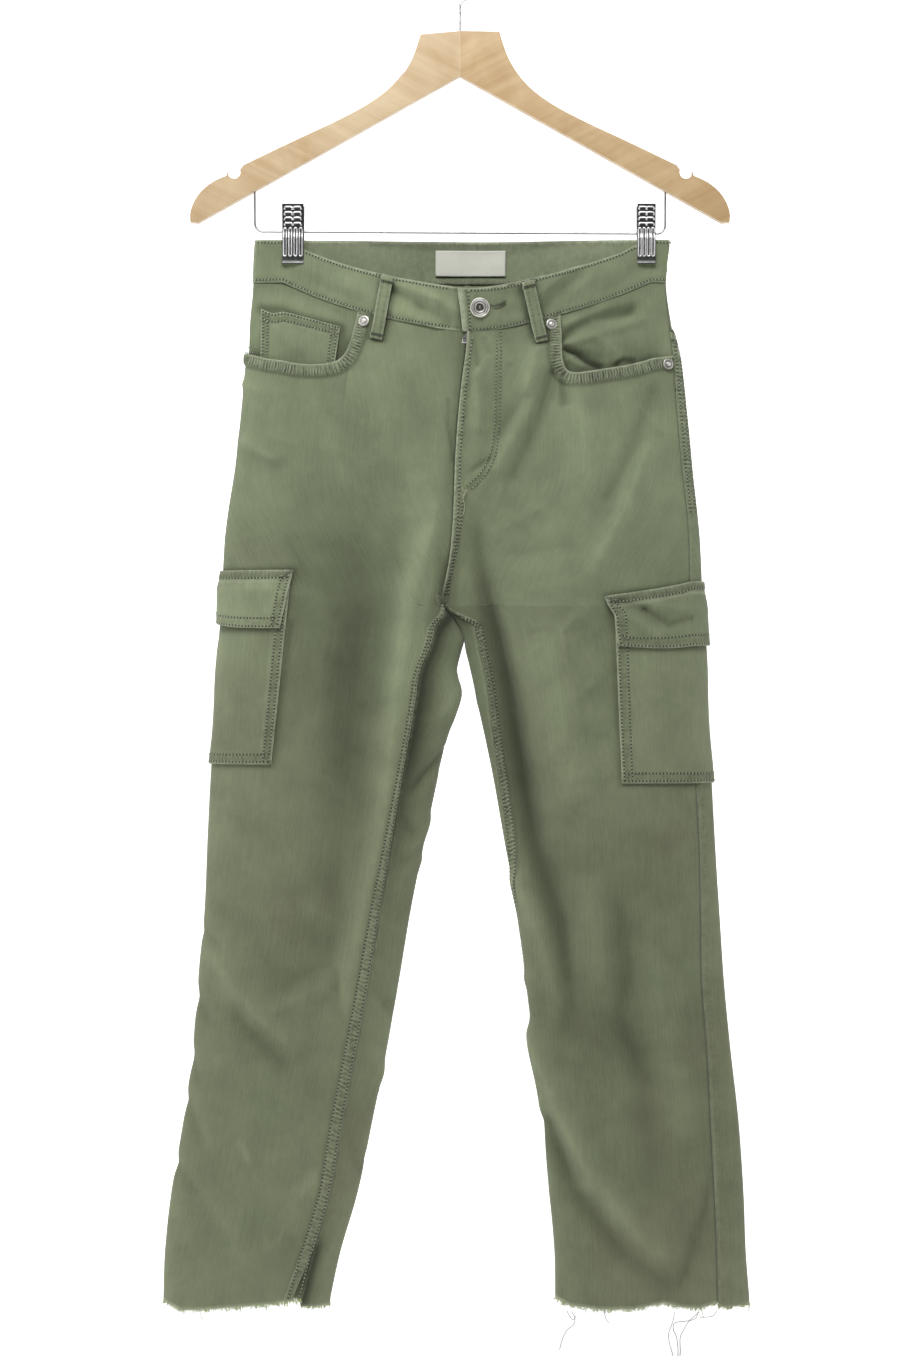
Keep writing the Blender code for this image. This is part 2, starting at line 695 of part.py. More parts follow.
def hanger_halves():
    for side in (-1, 1):
        bm = bmesh.new()
        outline = [bm.verts.new((side * x, -WOOD_HALF, -drop)) for x, drop in wood_outline()]
        face = bm.faces.new(outline)
        extruded = bmesh.ops.extrude_face_region(bm, geom=[face])
        verts = [item for item in extruded["geom"] if isinstance(item, bmesh.types.BMVert)]
        bmesh.ops.translate(bm, vec=(0, 2 * WOOD_HALF, 0), verts=verts)
        bmesh.ops.recalc_face_normals(bm, faces=bm.faces)
        rims = [e for e in bm.edges if abs(e.verts[0].co.y - e.verts[1].co.y) < 1e-6
                and min(abs(v.co.x) for v in e.verts) > 0.3]
        bmesh.ops.bevel(bm, geom=rims, offset=2.2, segments=2, profile=0.5, affect="EDGES",
                        material=-1, clamp_overlap=True)
        finish("hanger_" + side_name(side), bm, "wood")


def wire(name, points, radius, finish_name, resolution=3):
    """A round wire along a line of points, as a curve with filled ends."""
    curve = bpy.data.curves.new(name, "CURVE")
    curve.dimensions = "3D"
    curve.bevel_depth = radius * MM
    curve.bevel_resolution = resolution
    curve.use_fill_caps = True
    spline = curve.splines.new("POLY")
    spline.points.add(len(points) - 1)
    for place, point in zip(spline.points, points):
        place.co = (*(Vector(point) * MM), 1)
    spline.use_smooth = True
    curve.materials.append(material(finish_name))
    piece = bpy.data.objects.new(name, curve)
    bpy.context.scene.collection.objects.link(piece)


HOOK_RADIUS, HOOK_WIRE, HOOK_BEND = 24.0, 1.4, 8.0
HOOK_END = 206


def hook_path():
    """A straight shank, a small bend to the right, then the round of the hook over the rail."""
    centre = -(HOOK_RADIUS - HOOK_WIRE)
    rise = math.sqrt((HOOK_RADIUS + HOOK_BEND) ** 2 - HOOK_BEND**2)
    bend = centre - rise
    meets = math.degrees(math.atan2(-rise, HOOK_BEND))
    path = [(0, 0, -NECK_TOP + 0.3), (0, 0, (bend - NECK_TOP) / 2)]
    for k in range(5):
        angle = math.radians(180 - k * (-meets) / 4)
        path.append((HOOK_BEND + HOOK_BEND * math.cos(angle), 0, bend + HOOK_BEND * math.sin(angle)))
    turns = 22
    for k in range(1, turns + 1):
        angle = math.radians(meets + (HOOK_END - meets) * k / turns)
        path.append((HOOK_RADIUS * math.cos(angle), 0, centre + HOOK_RADIUS * math.sin(angle)))
    return path


def bar_path():
    """Down from one arm, along over the waist's top edge and up to the other arm."""
    outer = UPRIGHT_X + BAR_RADIUS
    under_wood = NECK_LOW + (WOOD_LOW_END[1] - NECK_LOW) * outer / WOOD_LOW_END[0] + GAP
    path = [(-UPRIGHT_X, 0, -under_wood)]
    for k in range(5):
        angle = math.radians(180 + 90 * k / 4)
        path.append((-UPRIGHT_X + BAR_BEND + BAR_BEND * math.cos(angle), 0,
                     -BAR_DROP_LEFT + BAR_BEND + BAR_BEND * math.sin(angle)))
    for k in range(5):
        angle = math.radians(270 + 90 * k / 4)
        path.append((UPRIGHT_X - BAR_BEND + BAR_BEND * math.cos(angle), 0,
                     -BAR_DROP_RIGHT + BAR_BEND + BAR_BEND * math.sin(angle)))
    path.append((UPRIGHT_X, 0, -under_wood))
    return path


CLIP_TOP, CLIP_LOW, CLIP_PLATE = 221.0, 271.5, 1.3
CLIPS = {-1: (-150.6, -132.8), 1: (150.6, 165.6)}
SPRING_OUTER, SPRING_HALF = 4.6, 5.5


def bar_drop(x):
    return BAR_DROP_LEFT + (BAR_DROP_RIGHT - BAR_DROP_LEFT) * (x + UPRIGHT_X) / (2 * UPRIGHT_X)


def band_face(side, low, high, front):
    """How far the waistband's outside stands from the middle plane between two places across."""
    reach = 0.0
    for k in range(5):
        x = low + (high - low) * k / 4
        for drop in (BAND_TOP, 260.0, BAND_MIDDLE, CLIP_LOW):
            reach = max(reach, abs(facet(side, t_at(side, x, drop, front), drop, BAND_PROUD).y))
    return reach


def clips():
    """Each clip has two sprung plates on the bar, with their jaws on the waistband."""
    for side in (-1, 1):
        low, high = CLIPS[side]
        pivot = bar_drop((low + high) / 2)
        for way, name in ((-1, "front"), (1, "back")):
            jaw = band_face(side, low, high, way < 0) + 0.35
            line = ((CLIP_TOP, 9.0), (pivot - 8, 6.6), (pivot, 5.2), (BAND_TOP - 1, jaw + 0.6),
                    (BAND_TOP + 3, jaw), (CLIP_LOW - 2, jaw), (CLIP_LOW, jaw + 0.8))

            def place(column, row):
                drop, stand = line[row]
                x = low + (high - low) * column / 2
                return (Vector((x, way * (stand + CLIP_PLATE), -drop)), Vector((x, way * stand, -drop)))

            shell("clip_" + side_name(side) + "_" + name, 3, len(line), place, "chrome")
        spring_ring(side, (low + high) / 2, pivot)


def spring_ring(side, x, drop):
    """The coil on the bar that presses a clip's plates apart, as a plain sleeve."""
    bm = bmesh.new()
    inner = BAR_RADIUS + 0.35
    profile = [(radius, way * SPRING_HALF) for radius, way in
               ((inner, -1), (SPRING_OUTER, -1), (SPRING_OUTER, 1), (inner, 1))]
    line = [bm.verts.new((radius, 0, height)) for radius, height in profile]
    edges = [bm.edges.new(pair) for pair in zip(line, line[1:] + line[:1])]
    bmesh.ops.spin(bm, geom=line + edges, cent=(0, 0, 0), axis=(0, 0, 1), dvec=(0, 0, 0),
                   angle=2 * math.pi, steps=20, use_merge=True)
    bmesh.ops.remove_doubles(bm, verts=bm.verts, dist=1e-4)
    turn = Vector((0, 0, 1)).rotation_difference(Vector((1, 0, 0)))
    bmesh.ops.rotate(bm, cent=(0, 0, 0), matrix=turn.to_matrix(), verts=bm.verts)
    bmesh.ops.translate(bm, vec=(x, 0, -drop), verts=bm.verts)
    finish("clip_" + side_name(side) + "_spring", bm, "wire")


def build():
    clear_scene()
    for side in (-1, 1):
        front_panel(side)
        back_panel(side)
        yoke(side)
    waistband()
    facings()
    coin_pocket()
    cargo_pockets()
    cargo_flaps()
    belt_loops()
    hem_frays()
    behind_fly("fly_tape", FLY_TAPE, "twill")
    behind_fly("zip_slider", ZIP_SLIDER, "chrome")
    label()
    button_and_rivets()
    hanger_halves()
    wire("hook", hook_path(), HOOK_WIRE, "chrome")
    wire("trouser_bar", bar_path(), BAR_RADIUS, "wire", 2)
    clips()


build()
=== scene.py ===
"""Looks of the cargo jeans on their hanger. Metres, +Z up, the front towards -Y."""
import math

import bmesh
import bpy
import numpy as np
from mathutils import Matrix, Vector


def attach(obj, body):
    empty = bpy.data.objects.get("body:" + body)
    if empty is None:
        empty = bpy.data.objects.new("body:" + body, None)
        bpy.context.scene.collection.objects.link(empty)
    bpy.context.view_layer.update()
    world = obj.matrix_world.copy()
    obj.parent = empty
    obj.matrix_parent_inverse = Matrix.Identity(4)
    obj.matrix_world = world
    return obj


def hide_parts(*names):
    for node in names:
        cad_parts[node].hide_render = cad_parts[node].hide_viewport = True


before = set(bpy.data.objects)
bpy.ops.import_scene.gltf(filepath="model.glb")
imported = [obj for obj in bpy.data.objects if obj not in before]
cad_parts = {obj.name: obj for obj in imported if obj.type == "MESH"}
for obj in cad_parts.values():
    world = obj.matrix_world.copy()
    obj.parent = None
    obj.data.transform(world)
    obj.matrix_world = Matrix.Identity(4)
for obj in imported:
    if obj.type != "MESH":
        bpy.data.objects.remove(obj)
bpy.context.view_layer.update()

MM = 0.001
rng = np.random.default_rng(7)

# ---- Camera, light and stage ----

VIEW_DISTANCE = 3.0
VIEW_HEIGHT = 1.1526
VIEW_CENTRE = (-0.0068, -0.623)


def make_camera():
    data = bpy.data.cameras.new("view")
    data.sensor_width = 36
    data.lens = 36 * VIEW_DISTANCE / VIEW_HEIGHT
    data.clip_end = 20
    camera = bpy.data.objects.new("view", data)
    camera.location = (VIEW_CENTRE[0], -VIEW_DISTANCE, VIEW_CENTRE[1])
    camera.rotation_euler = (math.radians(90), 0, 0)
    bpy.context.scene.collection.objects.link(camera)
    bpy.context.scene.camera = camera


def area_light(name, place, target, size, power, tint=(1, 1, 1)):
    data = bpy.data.lights.new(name, "AREA")
    data.shape = "RECTANGLE"
    data.size, data.size_y = size
    data.energy = power
    data.color = tint
    lamp = bpy.data.objects.new(name, data)
    lamp.location = place
    aim = Vector(target) - Vector(place)
    lamp.rotation_euler = aim.to_track_quat("-Z", "Y").to_euler()
    bpy.context.scene.collection.objects.link(lamp)


def make_lights():
    world = bpy.data.worlds.new("room")
    world.use_nodes = True
    world.node_tree.nodes["Background"].inputs["Color"].default_value = (1, 1, 1, 1)
    world.node_tree.nodes["Background"].inputs["Strength"].default_value = 0.06
    bpy.context.scene.world = world
    middle = (0, 0, -0.62)
    area_light("key", (-0.1, -0.8, 0.5), (0, 0, -0.5), (0.9, 0.5), 14)
    area_light("low", (-0.7, -1.2, -1.1), (-0.1, 0, -0.95), (0.5, 0.5), 3)
    area_light("left", (-1.6, -0.4, -0.5), middle, (0.4, 2.0), 12)
    area_light("right", (1.6, -0.4, -0.5), middle, (0.4, 2.0), 8)
    area_light("rim_left", (-2.2, 0.5, -0.5), middle, (0.6, 2.2), 8)
    area_light("rim_right", (2.2, 0.5, -0.5), middle, (0.6, 2.2), 8)
    bpy.context.scene.view_settings.view_transform = "Standard"
    bpy.context.scene.view_settings.look = "None"


FLOOR_DROP, WALL_Y, SWEEP, STAGE_HALF, STAGE_GLOW = -1.24, 9.0, 1.5, 12.0, 1.05


def make_stage():
    """A pale floor that sweeps up into a wall behind. It glows, from nothing in front to STAGE_GLOW behind,
    and so lights the garment from behind like a lamp.
    """
    bm = bmesh.new()
    line = [bm.verts.new((-STAGE_HALF, -6.0, FLOOR_DROP))]
    for k in range(13):
        turn = math.pi / 2 * k / 12
        line.append(bm.verts.new((-STAGE_HALF, WALL_Y - SWEEP + SWEEP * math.sin(turn),
                                  FLOOR_DROP + SWEEP - SWEEP * math.cos(turn))))
    line.append(bm.verts.new((-STAGE_HALF, WALL_Y, 8.0)))
    edges = [bm.edges.new(pair) for pair in zip(line, line[1:])]
    swept = bmesh.ops.extrude_edge_only(bm, edges=edges)
    moved = [item for item in swept["geom"] if isinstance(item, bmesh.types.BMVert)]
    bmesh.ops.translate(bm, vec=(2 * STAGE_HALF, 0, 0), verts=moved)
    bmesh.ops.recalc_face_normals(bm, faces=bm.faces)
    mesh = bpy.data.meshes.new("floor")
    bm.to_mesh(mesh)
    bm.free()
    mesh.shade_smooth()
    pale = bpy.data.materials.new("pale_floor")
    pale.use_nodes = True
    shader = pale.node_tree.nodes["Principled BSDF"]
    links, add = pale.node_tree.links, pale.node_tree.nodes.new
    parts, glow = add("ShaderNodeSeparateXYZ"), add("ShaderNodeMapRange")
    links.new(add("ShaderNodeTexCoord").outputs["Object"], parts.inputs[0])
    links.new(parts.outputs["Y"], glow.inputs["Value"])
    for key, value in zip(("From Min", "From Max", "To Min", "To Max"), (-0.3, 0.7, 0.0, STAGE_GLOW)):
        glow.inputs[key].default_value = value
    links.new(glow.outputs["Result"], shader.inputs["Emission Strength"])
    shader.inputs["Base Color"].default_value = (0.92, 0.92, 0.92, 1)
    shader.inputs["Roughness"].default_value = 0.9
    shader.inputs["Specular IOR Level"].default_value = 0.1
    shader.inputs["Emission Color"].default_value = (1, 1, 1, 1)
    mesh.materials.append(pale)
    floor = bpy.data.objects.new("floor", mesh)
    bpy.context.scene.collection.objects.link(floor)


make_camera()
make_lights()
make_stage()

# ---- Shader groups ----


class Nodes:
    """Adds and links nodes of one tree, left to right."""

    def __init__(self, tree):
        self.tree = tree

    def add(self, kind, inputs=None, **settings):
        node = self.tree.nodes.new(kind)
        for key, value in settings.items():
            setattr(node, key, value)
        for key, value in (inputs or {}).items():
            if isinstance(value, bpy.types.NodeSocket):
                self.tree.links.new(value, node.inputs[key])
            else:
                node.inputs[key].default_value = value
        return node

    def link(self, out, into):
        self.tree.links.new(out, into)

    def math(self, operation, a, b=0.0, c=0.0, clamp=False):
        return self.add("ShaderNodeMath", {0: a, 1: b, 2: c}, operation=operation, use_clamp=clamp).outputs[0]

    def noise(self, vector, scale, detail=2.0, roughness=0.5, distortion=0.0):
        node = self.add("ShaderNodeTexNoise", {"Vector": vector, "Scale": scale, "Detail": detail,
                                               "Roughness": roughness, "Distortion": distortion})
        return node.outputs["Fac"]

    def stretch(self, vector, scale):
        return self.add("ShaderNodeMapping", {"Vector": vector, "Scale": scale}).outputs["Vector"]

    def span(self, value, low, high, to_low=0.0, to_high=1.0):
        node = self.add("ShaderNodeMapRange", {"Value": value, "From Min": low, "From Max": high,
                                               "To Min": to_low, "To Max": to_high})
        return node.outputs["Result"]

    def mix(self, factor, a, b, blend="MIX"):
        node = self.add("ShaderNodeMix", data_type="RGBA", blend_type=blend)
        for socket, value in zip((node.inputs[0], node.inputs[6], node.inputs[7]), (factor, a, b)):
            if isinstance(value, bpy.types.NodeSocket):
                self.tree.links.new(value, socket)
            else:
                socket.default_value = value
        return node.outputs[2]


def new_group(name, inputs, outputs):
    """A shader node group with named sockets, and its tools."""
    tree = bpy.data.node_groups.new(name, "ShaderNodeTree")
    for socket, kind, value in inputs:
        made = tree.interface.new_socket(socket, in_out="INPUT", socket_type="NodeSocket" + kind)
        if value is not None:
            made.default_value = value
    for socket, kind in outputs:
        tree.interface.new_socket(socket, in_out="OUTPUT", socket_type="NodeSocket" + kind)
    tools = Nodes(tree)
    return tree, tools, tools.add("NodeGroupInput").outputs, tools.add("NodeGroupOutput").inputs


def twill_group():
    """Washed twill: diagonal weave, slub streaks, mottling, and paler worn ridges on seams.

    Cut holds millimetres across and along the cloth; Seam and Along describe a sewn edge. One input is
    painted shade: it darkens the colour where positive and lightens it as painted highlight where negative.
    """
    tree, n, inp, out = new_group(
        "washed_twill",
        [("Cut", "Vector", None), ("Seam", "Float", 0.0), ("Along", "Float", 0.0), ("Worn", "Float", 0.0),
         ("Painted_Shade", "Float", 0.0),
         ("Cloth", "Color", (0.2, 0.25, 0.14, 1)), ("Faded", "Color", (0.35, 0.39, 0.27, 1))],
        [("Color", "Color"), ("Roughness", "Float"), ("Height", "Float")])
    place = n.add("ShaderNodeTexCoord").outputs["Object"]
    streaks = n.noise(n.stretch(inp["Cut"], (0.62, 0.016, 1)), 1.0, 3.0, 0.65)
    slubs = n.noise(n.stretch(inp["Cut"], (1.15, 0.10, 1)), 1.0, 2.0, 0.7)
    grain = n.noise(n.stretch(inp["Cut"], (1.1, 1.1, 1)), 1.0, 2.0, 0.6)
    mottle = n.noise(place, 9.0, 4.0, 0.55)
    parts = n.add("ShaderNodeSeparateXYZ", {"Vector": inp["Cut"]}).outputs
    slant = n.math("ADD", parts[0], n.math("MULTIPLY", parts[1], 0.62))
    wale = n.math("SINE", n.math("MULTIPLY", slant, 2 * math.pi / 1.05))
    ripple_shift = n.math("MULTIPLY", n.noise(place, 50.0, 1.0), 3.0)
    ripple = n.math("SINE", n.math("ADD", n.math("MULTIPLY", inp["Along"], 2 * math.pi), ripple_shift))
    ripple_high = n.span(ripple, -1.0, 1.0)
    rub = n.noise(place, 190.0, 3.0, 0.7)
    shade = n.math("ADD", n.span(streaks, 0.3, 0.7, -0.07, 0.07), n.span(slubs, 0.25, 0.75, -0.09, 0.09))
    shade = n.math("ADD", shade, n.span(mottle, 0.3, 0.7, -0.12, 0.12))
    shade = n.math("ADD", shade, n.span(n.noise(place, 34.0, 3.0, 0.6), 0.3, 0.7, -0.10, 0.10))
    shade = n.math("ADD", shade, n.span(grain, 0.2, 0.8, -0.10, 0.10))
    shade = n.math("ADD", shade, n.math("MULTIPLY", wale, 0.02))
    # Seam ribs: painted shade in their valleys and painted highlight on their crests
    ribbed = n.math("MULTIPLY", n.math("MULTIPLY", inp["Seam"], inp["Seam"]),
                    n.span(n.noise(place, 75.0, 2.0, 0.6), 0.35, 0.65, 0.3, 1.3))
    shade = n.math("ADD", shade, n.math("MULTIPLY", n.math("MULTIPLY", ripple, ribbed), 0.13))
    near = n.add("ShaderNodeCombineXYZ", {"X": inp["Along"], "Y": n.math("MULTIPLY", parts[0], 0.1),
                                          "Z": n.math("MULTIPLY", parts[1], 0.1)}).outputs["Vector"]
    # Puckers beside seams: bumps, and painted shade in their hollows
    tucks = n.span(n.noise(near, 1.0, 2.0, 0.6), 0.42, 0.66, 0.10, -0.38)
    shade = n.math("ADD", shade, n.math("MULTIPLY", tucks, inp["Seam"]))
    browned = n.mix(1.0, inp["Cloth"], (1.03, 0.955, 0.99, 1), "MULTIPLY")
    fall = n.span(n.add("ShaderNodeSeparateXYZ", {"Vector": place}).outputs["Z"], -0.45, -0.75)
    aged = n.math("MULTIPLY", fall, n.span(n.noise(place, 4.0, 3.0, 0.6), 0.35, 0.62, 0.3, 1.0), clamp=True)
    tinted = n.mix(aged, inp["Cloth"], browned)
    toned = n.add("ShaderNodeHueSaturation", {"Color": tinted, "Value": n.math("ADD", shade, 1.0)})
    rubbed = n.math("MULTIPLY", ribbed, n.span(ripple_high, 0.2, 1.0, 0.0, 0.26))
    rubbed = n.math("MULTIPLY", rubbed, n.span(rub, 0.3, 0.62, 0.7, 1.1))
    worn = n.math("MULTIPLY", inp["Worn"], n.span(rub, 0.3, 0.65, 0.3, 1.0))
    pale = n.math("ADD", rubbed, worn, clamp=True)
    # The painted shade and painted highlight from the shade input
    painted_shade_tone = n.add("ShaderNodeHueSaturation", {"Color": toned.outputs["Color"],
                                                "Value": n.span(inp["Painted_Shade"], -1.0, 1.6, 1.5, 0.2)})
    n.link(n.mix(pale, painted_shade_tone.outputs["Color"], inp["Faded"]), out["Color"])
    n.link(n.span(grain, 0.0, 1.0, 0.86, 0.96), out["Roughness"])
    height = n.math("ADD", n.math("MULTIPLY", wale, 0.07), n.math("MULTIPLY", grain, 0.22))
    height = n.math("ADD", height, n.math("MULTIPLY", slubs, 0.16))
    height = n.math("ADD", height, n.math("MULTIPLY", n.math("MULTIPLY", ripple, ribbed), 0.4))
    height = n.math("ADD", height, n.math("MULTIPLY", n.math("MULTIPLY", tucks, inp["Seam"]), 1.2))
    n.link(height, out["Height"])
    return tree


TWILL = twill_group()
CLOTH_TONE = (0.198, 0.232, 0.138, 1)
FADED_TONE = (0.415, 0.455, 0.325, 1)


def place_group(n, tree, inputs):
    node = n.tree.nodes.new("ShaderNodeGroup")
    node.node_tree = tree
    for key, value in inputs.items():
        if isinstance(value, bpy.types.NodeSocket):
            n.link(value, node.inputs[key])
        else:
            node.inputs[key].default_value = value
    return node.outputs


def new_material(name):
    """An empty material: its tools and its Principled shader."""
    made = bpy.data.materials.new(name)
    made.use_nodes = True
    return made, Nodes(made.node_tree), made.node_tree.nodes["Principled BSDF"]


def bump(n, shader, height, distance, strength=1.0):
    node = n.add("ShaderNodeBump", {"Height": height, "Distance": distance, "Strength": strength})
    n.link(node.outputs["Normal"], shader.inputs["Normal"])


def cloth_material(name, cloth=CLOTH_TONE, faded=FADED_TONE):
    made, n, shader = new_material(name)
    # The deep attribute is painted shade where positive and painted highlight where negative
    value = {key: n.add("ShaderNodeAttribute", attribute_name=key).outputs
             for key in ("cut", "seam", "along", "worn", "deep")}
    outs = place_group(n, TWILL, {
        "Cut": value["cut"]["Vector"], "Seam": value["seam"]["Fac"], "Along": value["along"]["Fac"],
        "Worn": value["worn"]["Fac"], "Painted_Shade": value["deep"]["Fac"], "Cloth": cloth, "Faded": faded})
    n.link(outs["Color"], shader.inputs["Base Color"])
    n.link(outs["Roughness"], shader.inputs["Roughness"])
    shader.inputs["Specular IOR Level"].default_value = 0.18
    shader.inputs["Sheen Weight"].default_value = 0.16
    shader.inputs["Sheen Roughness"].default_value = 0.5
    bump(n, shader, outs["Height"], 0.0009)
    return made


OLIVE = cloth_material("olive_twill")

# ---- The cloth's surface, as its solids have it ----
# Lengths are millimetres. A drop is a distance below the hook's crown. Side is -1 left, +1 right;
# t runs from 0 at the outseam to 1 at the centre front or inseam, and to -1 round the back.

BAND_TOP, BAND_LOW = 251.0, 287.0
BLEND_TOP, CROTCH, HEM = 440.0, 562.0, 1150.0
WAIST_DIP, DIP_HALF_WIDTH, DIP_END = 41.0, 150.0, 460.0
PINCH_AT, PINCH_HALF = 0.84, 3.8
CLOTH, BAND, BAND_PROUD = 1.1, 2.4, 0.6
LEG_ROUNDNESS = 2.4
# drop, left and right reach, front and back depth, pinch, roundness, outseam insets left and
# right (on the front where positive), centre front
TORSO = np.array((
    (251, 173.5, 177.0, 40, 15, 1.00, 6.0, -4, -1.0, 4.0),
    (287, 175.5, 175.5, 37, 16, 0.95, 5.0, -4, 0.5, 6.0),
    (320, 179.0, 180.0, 34, 19, 0.60, 3.6, -5, 2.5, 4.2),
    (355, 182.0, 190.0, 31, 23, 0.28, 3.0, -6, 9.0, 1.0),
    (400, 186.0, 195.5, 29, 26, 0.05, 2.7, -6, 11.0, -2.2),
    (440, 190.0, 199.0, 28, 28, 0.00, 2.6, -6, 11.0, -4.3),
    (500, 196.5, 203.0, 27, 28, 0.00, 2.5, -6, 9.5, -6.0),
    (528, 198.4, 204.4, 26.5, 27.5, 0.00, 2.5, -6, 10.2, -8.8),
    (562, 200.5, 206.0, 26, 27, 0.00, 2.5, -6, 11.0, -17.5),
))
# drop, outer and inner reach, front and back depth, outseam and inseam insets
LEGS = {
    -1: np.array((
        (562, 200.5, 14.0, 26, 27, -6, 0.0),
        (576, 201.2, 3.0, 26, 27, -6, 15.5),
        (590, 202.4, -3.2, 25.6, 26.3, -6, 26.3),
        (600, 203.5, -1.0, 25.3, 25.7, -6, 27.3),
        (612, 204.4, 2.4, 24.9, 25.2, -6, 29.5),
        (625, 205.4, 4.2, 24.5, 24.6, -6, 31.3),
        (640, 206.5, 4.2, 24, 24, -6, 33.0),
        (700, 211.5, 18.5, 23, 23, -6, 29.0),
        (760, 215.0, 31.0, 22, 22, -6, 26.5),
        (820, 218.0, 42.8, 21, 21, -6, 24.7),
        (880, 224.0, 53.0, 20, 20, -6, 24.2),
        (940, 229.5, 64.0, 20, 20, -6, 24.0),
        (1000, 237.3, 76.0, 20, 20, -6, 23.5),
        (1060, 246.5, 87.5, 20, 20, -6, 22.5),
        (1110, 250.8, 101.0, 20, 20, -6, 23.5),
        (1150, 251.3, 109.0, 20, 20, -6, 26.0),
    )),
    1: np.array((
        (562, 206.0, -14.5, 26, 27, 11.0, 0.0),
        (576, 206.6, -3.4, 26, 27, 11.5, 11.0),
        (590, 207.4, 3.2, 25.6, 26.3, 11.8, 10.5),
        (600, 208.0, 5.0, 25.3, 25.7, 12.0, 10.5),
        (612, 208.3, 7.9, 24.9, 25.2, 12.1, 10.6),
        (625, 208.6, 10.8, 24.5, 24.6, 12.3, 10.2),
        (640, 209.0, 13.8, 24, 24, 12.5, 9.5),
        (700, 213.5, 26.3, 23, 23, 14.0, 4.5),
        (760, 216.5, 37.0, 22, 22, 13.8, 2.0),
        (820, 219.5, 48.5, 21, 21, 15.3, -1.0),
        (880, 223.0, 56.5, 20, 20, 18.0, -4.0),
        (940, 229.0, 63.0, 20, 20, 19.5, -6.0),
        (1000, 236.3, 69.7, 20, 20, 24.0, -6.0),
        (1060, 241.0, 76.5, 20, 20, 25.5, -6.0),
        (1110, 243.0, 80.7, 20, 20, 25.5, -6.0),
        (1150, 246.0, 81.0, 20, 20, 27.5, -6.0),
    )),
}
